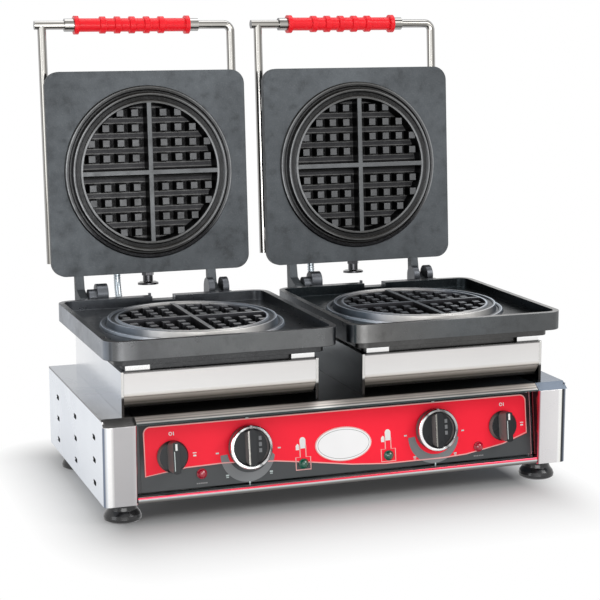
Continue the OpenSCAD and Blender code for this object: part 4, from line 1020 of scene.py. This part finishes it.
def lamp_axis(node, sign):
    """Where a lamp's lens meets the label, from the lens of that side."""
    points = [v.co for v in NODES[node].data.vertices if v.co.x * sign > 0.02]
    return on_label(mid(points, 0), mid(points, 2))


def make_lamp_prints(side, sign):
    """The thermometer sign over the green lamp and the caption strokes below the red one."""
    green = lamp_axis("green_lamps", sign)
    frame_line = bmesh.new()
    box = [(-3.6, 21), (-3.6, 7.5), (-9, 7.5), (-9, -7), (9, -7), (9, 7.5), (3.6, 7.5), (3.6, 21)]
    add_stroke(frame_line, box, 1.3)
    print_piece(side + "_sign_frame", frame_line, INK_PINK, green)
    bulb = bmesh.new()
    column = arc((0, 27), 3.6, 0, 180, 10) + [(-3.6, 17.5), (3.6, 17.5)]
    add_slab(bulb, column)
    add_slab(bulb, [(-8.6, 16), (-4.6, 16), (-4.6, 22), (-6.4, 23.4), (-8.6, 21)])
    print_piece(side + "_sign_bulb", bulb, INK_WHITE, green)
    red = lamp_axis("red_lamps", sign)
    caption = bmesh.new()
    for i in range(6):
        add_box(caption, -5.5 + i * 2.2, -11, 1.5, 1.4)
    print_piece(side + "_lamp_caption", caption, INK_DULL, red)


def make_badge_border():
    """The blank badge's fine double border."""
    height = reach("badge", LABEL_MIDDLE, PANEL_OUT)
    low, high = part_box("badge")
    origin = on_label(mid((low, high), 0), mid((low, high), 2), height * MM)
    half_w, half_h = (high.x - low.x) / 2 / MM, (high.z - low.z) / 2 / MM / PANEL_UP.z
    for name, inset, width, ink in (("outer", 0.6, 1.0, INK_PINK), ("inner", 3.2, 0.5, INK_DULL)):
        mesh = bmesh.new()
        turns = [math.radians(a) for a in range(0, 360, 6)]
        oval = [((half_w - inset) * math.cos(a), (half_h - inset) * math.sin(a)) for a in turns]
        add_stroke(mesh, oval, width, height - 0.02, height + INK, closed=True)
        print_piece("badge_border_" + name, mesh, ink, origin)


# ---- knobs


def make_dial_trim(side):
    """A chrome strip down the left of a thermostat knob's bar, standing in for its highlight, and numerals'
    strokes on its sunk face.
    """
    body = side + "_thermostat_knob"
    top = reach(body, DIAL_AXIS[side], PANEL_OUT)
    # a chrome strip standing in for the highlight down the left of the bar
    line = bmesh.new()
    add_slab(line, [(-5.0, -19), (-3.2, -19.6), (-3.2, 19.6), (-5.0, 19)], top - 1.6, top + 0.15)
    matrix = on_panel(DIAL_AXIS[side])
    finish_piece(side + "_dial_line", line, matrix, body, "chrome")
    strokes = bmesh.new()
    face = top - 8.0
    for y in (9.5, 2.5, -4.5):
        add_box(strokes, 11.5, y, 3.4, 4.6, face - 0.1, face + 0.12)
    finish_piece(side + "_dial_strokes", strokes, matrix, body, "label_print", INK_GREY)


def make_switch_trim(side):
    """White pointer, and a pale line down a switch knob's bar that stands in for its highlight."""
    body = side + "_switch_knob"
    top = reach(body, SWITCH_AXIS[side], PANEL_OUT)
    pointer = bmesh.new()
    add_box(pointer, 0, 12.2, 2.4, 7.4, top - 1.0, top + 0.12)
    matrix = on_panel(SWITCH_AXIS[side])
    finish_piece(side + "_switch_pointer", pointer, matrix, body, "label_print", INK_WHITE)
    # a pale printed line standing in for the highlight down the bar
    line = bmesh.new()
    add_box(line, -2.4, -3.5, 0.9, 22, top - 0.6, top + 0.1)
    finish_piece(side + "_switch_line", line, matrix, body, "label_print", INK_PALE)


# ---- conduits

ROUTE = ((0, 8), (0, 20), (8, 38), (24, 58), (40, 74), (49, 94))
CONDUIT_R = 4.3
RIB = 0.45
RIB_PITCH = 2.6
ROUTE_STEPS = 16  # between two points of the route
ROUND_STEPS = 20  # round the hose


def smooth_route(points):
    """Points along a Catmull-Rom curve through the route."""
    ends = [2 * points[0] - points[1]] + list(points) + [2 * points[-1] - points[-2]]
    line = []
    for a, b, c, d in zip(ends, ends[1:], ends[2:], ends[3:]):
        for i in range(ROUTE_STEPS):
            t = i / ROUTE_STEPS
            line.append(0.5 * (2 * b + (c - a) * t + (2 * a - 5 * b + 4 * c - d) * t * t
                               + (3 * b - 3 * c + d - a) * t ** 3))
    return line + [points[-1]]


def make_conduit(side):
    """Corrugated steel hose from its nut on the base to the open lid's cover."""
    node = side + "_conduit"
    low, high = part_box(node)
    foot = Vector(((low.x + high.x) / 2, low.y + (high.x - low.x) / 2, BASE_TOP_Z)) / MM
    tip = Vector((foot.x, high.y / MM - 4.4, high.z / MM - 0.8))
    points = [foot + Vector((0, y, z)) for y, z in ROUTE] + [tip]
    line = smooth_route(points)
    mesh = bmesh.new()
    rings, travelled = [], 0.0
    across = Vector((1, 0, 0))
    turns = [2 * math.pi * k / ROUND_STEPS for k in range(ROUND_STEPS)]
    for i, point in enumerate(line):
        run = (line[min(i + 1, len(line) - 1)] - line[max(i - 1, 0)]).normalized()
        up = run.cross(across).normalized()
        travelled += (point - line[i - 1]).length if i else 0.0
        radius = CONDUIT_R + RIB * math.cos(2 * math.pi * travelled / RIB_PITCH)
        spokes = [across * math.cos(a) + up * math.sin(a) for a in turns]
        rings.append([mesh.verts.new(point + spoke * radius) for spoke in spokes])
    for ring, following in zip(rings, rings[1:]):
        for k in range(ROUND_STEPS):
            n = (k + 1) % ROUND_STEPS
            mesh.faces.new((ring[k], ring[n], following[n], following[k]))
    mesh.faces.new(rings[0])
    mesh.faces.new(reversed(rings[-1]))
    piece = finish_piece(side + "_hose", mesh, Matrix.Scale(MM, 4), None, "conduit_steel", smooth=True)
    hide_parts(node)
    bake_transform(piece)


# ---- small fittings


def make_tab_nuts():
    """Small nuts at the left end of each unit's front tabs."""
    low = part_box("plate_tabs")[0]
    for side, _ in SIDES:
        box_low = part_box(side + "_heater_box")[0]
        mesh = bmesh.new()
        add_slab(mesh, arc((0, 0), 3.4, 0, 300, 5), 0, 2.6)
        add_slab(mesh, arc((0, 0), 1.9, 0, 345, 23), 0, 4.0)
        spot = (box_low.x + 9 * MM, low.y + 3.4 * MM, low.z + 1.2 * MM)
        matrix = Matrix.Translation(spot) @ Matrix.Scale(MM, 4)
        finish_piece(side + "_tab_nut", mesh, matrix, "base", "fastener_steel")


make_grey_band()
make_outline()
make_badge_border()
make_tab_nuts()
for side, sign in SIDES:
    make_dial_prints(side)
    make_switch_prints(side)
    make_lamp_prints(side, sign)
    make_dial_trim(side)
    make_switch_trim(side)
    make_conduit(side)


# ---- stage, light and camera

MATT_WORLD = 0.42
FLOOR_HALF = 3.0


def away_from_base(shader):
    """How far a point of the floor is outside the base's foot, growing faster beside and behind it."""
    place = shader.place()
    half_w, half_d = -CHEEK_LOW.x, -FRONT_Y
    ways = (
        (0, -1, half_w - 0.025, 1.9), (0, 1, half_w - 0.06, 2.5),
        (1, -1, half_d, 1.0), (1, 1, half_d - 0.09, 2.0)
    )
    total = None
    for axis, sign, bound, gain in ways:
        out = shader.math("SUBTRACT", shader.times(place[axis], sign), bound)
        square = shader.math("POWER", shader.times(shader.math("MAXIMUM", out, 0.0), gain), 2.0)
        total = square if total is None else shader.math("ADD", total, square)
    return shader.math("SQRT", total)


def build_stage():
    """A pale floor with a painted shadow around the foot of the base, that fades to the white background."""
    corners = [(x * FLOOR_HALF, y * FLOOR_HALF, 0) for x, y in ((-1, -1), (1, -1), (1, 1), (-1, 1))]
    mesh = bpy.data.meshes.new("floor")
    mesh.from_pydata(corners, [], [(0, 1, 2, 3)])
    floor = bpy.data.objects.new("floor", mesh)
    bpy.context.scene.collection.objects.link(floor)
    shader = Shader("floor_white").set(Roughness=0.9, Specular_IOR_Level=0.0)
    away = away_from_base(shader)
    grain = shader.noise(40, 3, 0.5)
    pale = shader.ramp(grain, grey(0.97), grey(0.99))
    # painted shadow: the floor's colour darkened near the base's foot
    floor_painted_shadow = shader.stops(shader.rise(away, 0.0, 0.3), (0.0, 0.5), (0.45, 0.78), (1.0, 1))
    shader.color(shader.multiply(pale, floor_painted_shadow))
    camera, mirrored = shader.rays()
    fade = shader.times(shader.rise(away, 0.0, 0.2), camera)
    white = shader.node("ShaderNodeEmission")
    mix = shader.node("ShaderNodeMixShader")
    shader.link(shader.math("MAXIMUM", fade, shader.times(mirrored, 0.8)), mix.inputs["Fac"])
    shader.link(shader.surface.outputs["BSDF"], mix.inputs[1])
    shader.link(white.outputs["Emission"], mix.inputs[2])
    shader.link(mix.outputs["Shader"], shader.tree.nodes["Material Output"].inputs["Surface"])
    mesh.materials.append(shader.material)


def build_world():
    """White to the camera and in reflections, a softer light on matt surfaces."""
    world = bpy.data.worlds.new("studio")
    bpy.context.scene.world = world
    world.use_nodes = True
    nodes = Nodes(world.node_tree)
    background = nodes.tree.nodes["Background"]
    background.inputs["Color"].default_value = (1, 1, 1, 1)
    strength = nodes.span(nodes.math("MAXIMUM", *nodes.rays()), MATT_WORLD, 1.0, 0.0, 1.0)
    nodes.link(strength, background.inputs["Strength"])


def area_light(name, location, target, size, power, color=(1, 1, 1)):
    """A soft panel of light aimed at a target."""
    data = bpy.data.lights.new(name, "AREA")
    data.shape = "RECTANGLE"
    data.size, data.size_y = size
    data.energy = power
    data.color = color
    lamp = bpy.data.objects.new(name, data)
    lamp.location = location
    lamp.rotation_euler = (Vector(target) - Vector(location)).to_track_quat("-Z", "Y").to_euler()
    bpy.context.scene.collection.objects.link(lamp)


def build_lights():
    """A key from the right, a cool fill from the left, a low front panel and one above."""
    middle = (0, 0, 0.25)
    area_light("key_right", (1.5, -1.5, 1.5), middle, (1.0, 1.0), 17)
    area_light("fill_left", (-1.9, -0.8, 0.9), middle, (1.0, 1.2), 8, (0.94, 0.97, 1.0))
    area_light("front_low", (-0.3, -2.3, 0.3), (0, 0, 0.1), (1.6, 0.7), 17)
    area_light("top", (0.3, 0.3, 2.0), middle, (1.4, 1.2), 10)


def build_camera():
    """The photographed viewpoint, from the fit of the base, plates and lids."""
    focal_px = 1661.0
    picture_px = 600.0
    yaw = math.radians(19.65)
    pitch = math.radians(10.21)
    data = bpy.data.cameras.new("camera")
    data.sensor_width = 36.0
    data.lens = data.sensor_width * focal_px / picture_px
    data.clip_end = 50
    camera = bpy.data.objects.new("camera", data)
    camera.location = (-0.6738, FRONT_Y - 1.7275, 0.572)
    camera.rotation_euler = (math.pi / 2 - pitch, 0, -yaw)
    bpy.context.scene.collection.objects.link(camera)
    bpy.context.scene.camera = camera


build_stage()
build_world()
build_lights()
build_camera()

view = bpy.context.scene.view_settings
view.view_transform = "Standard"
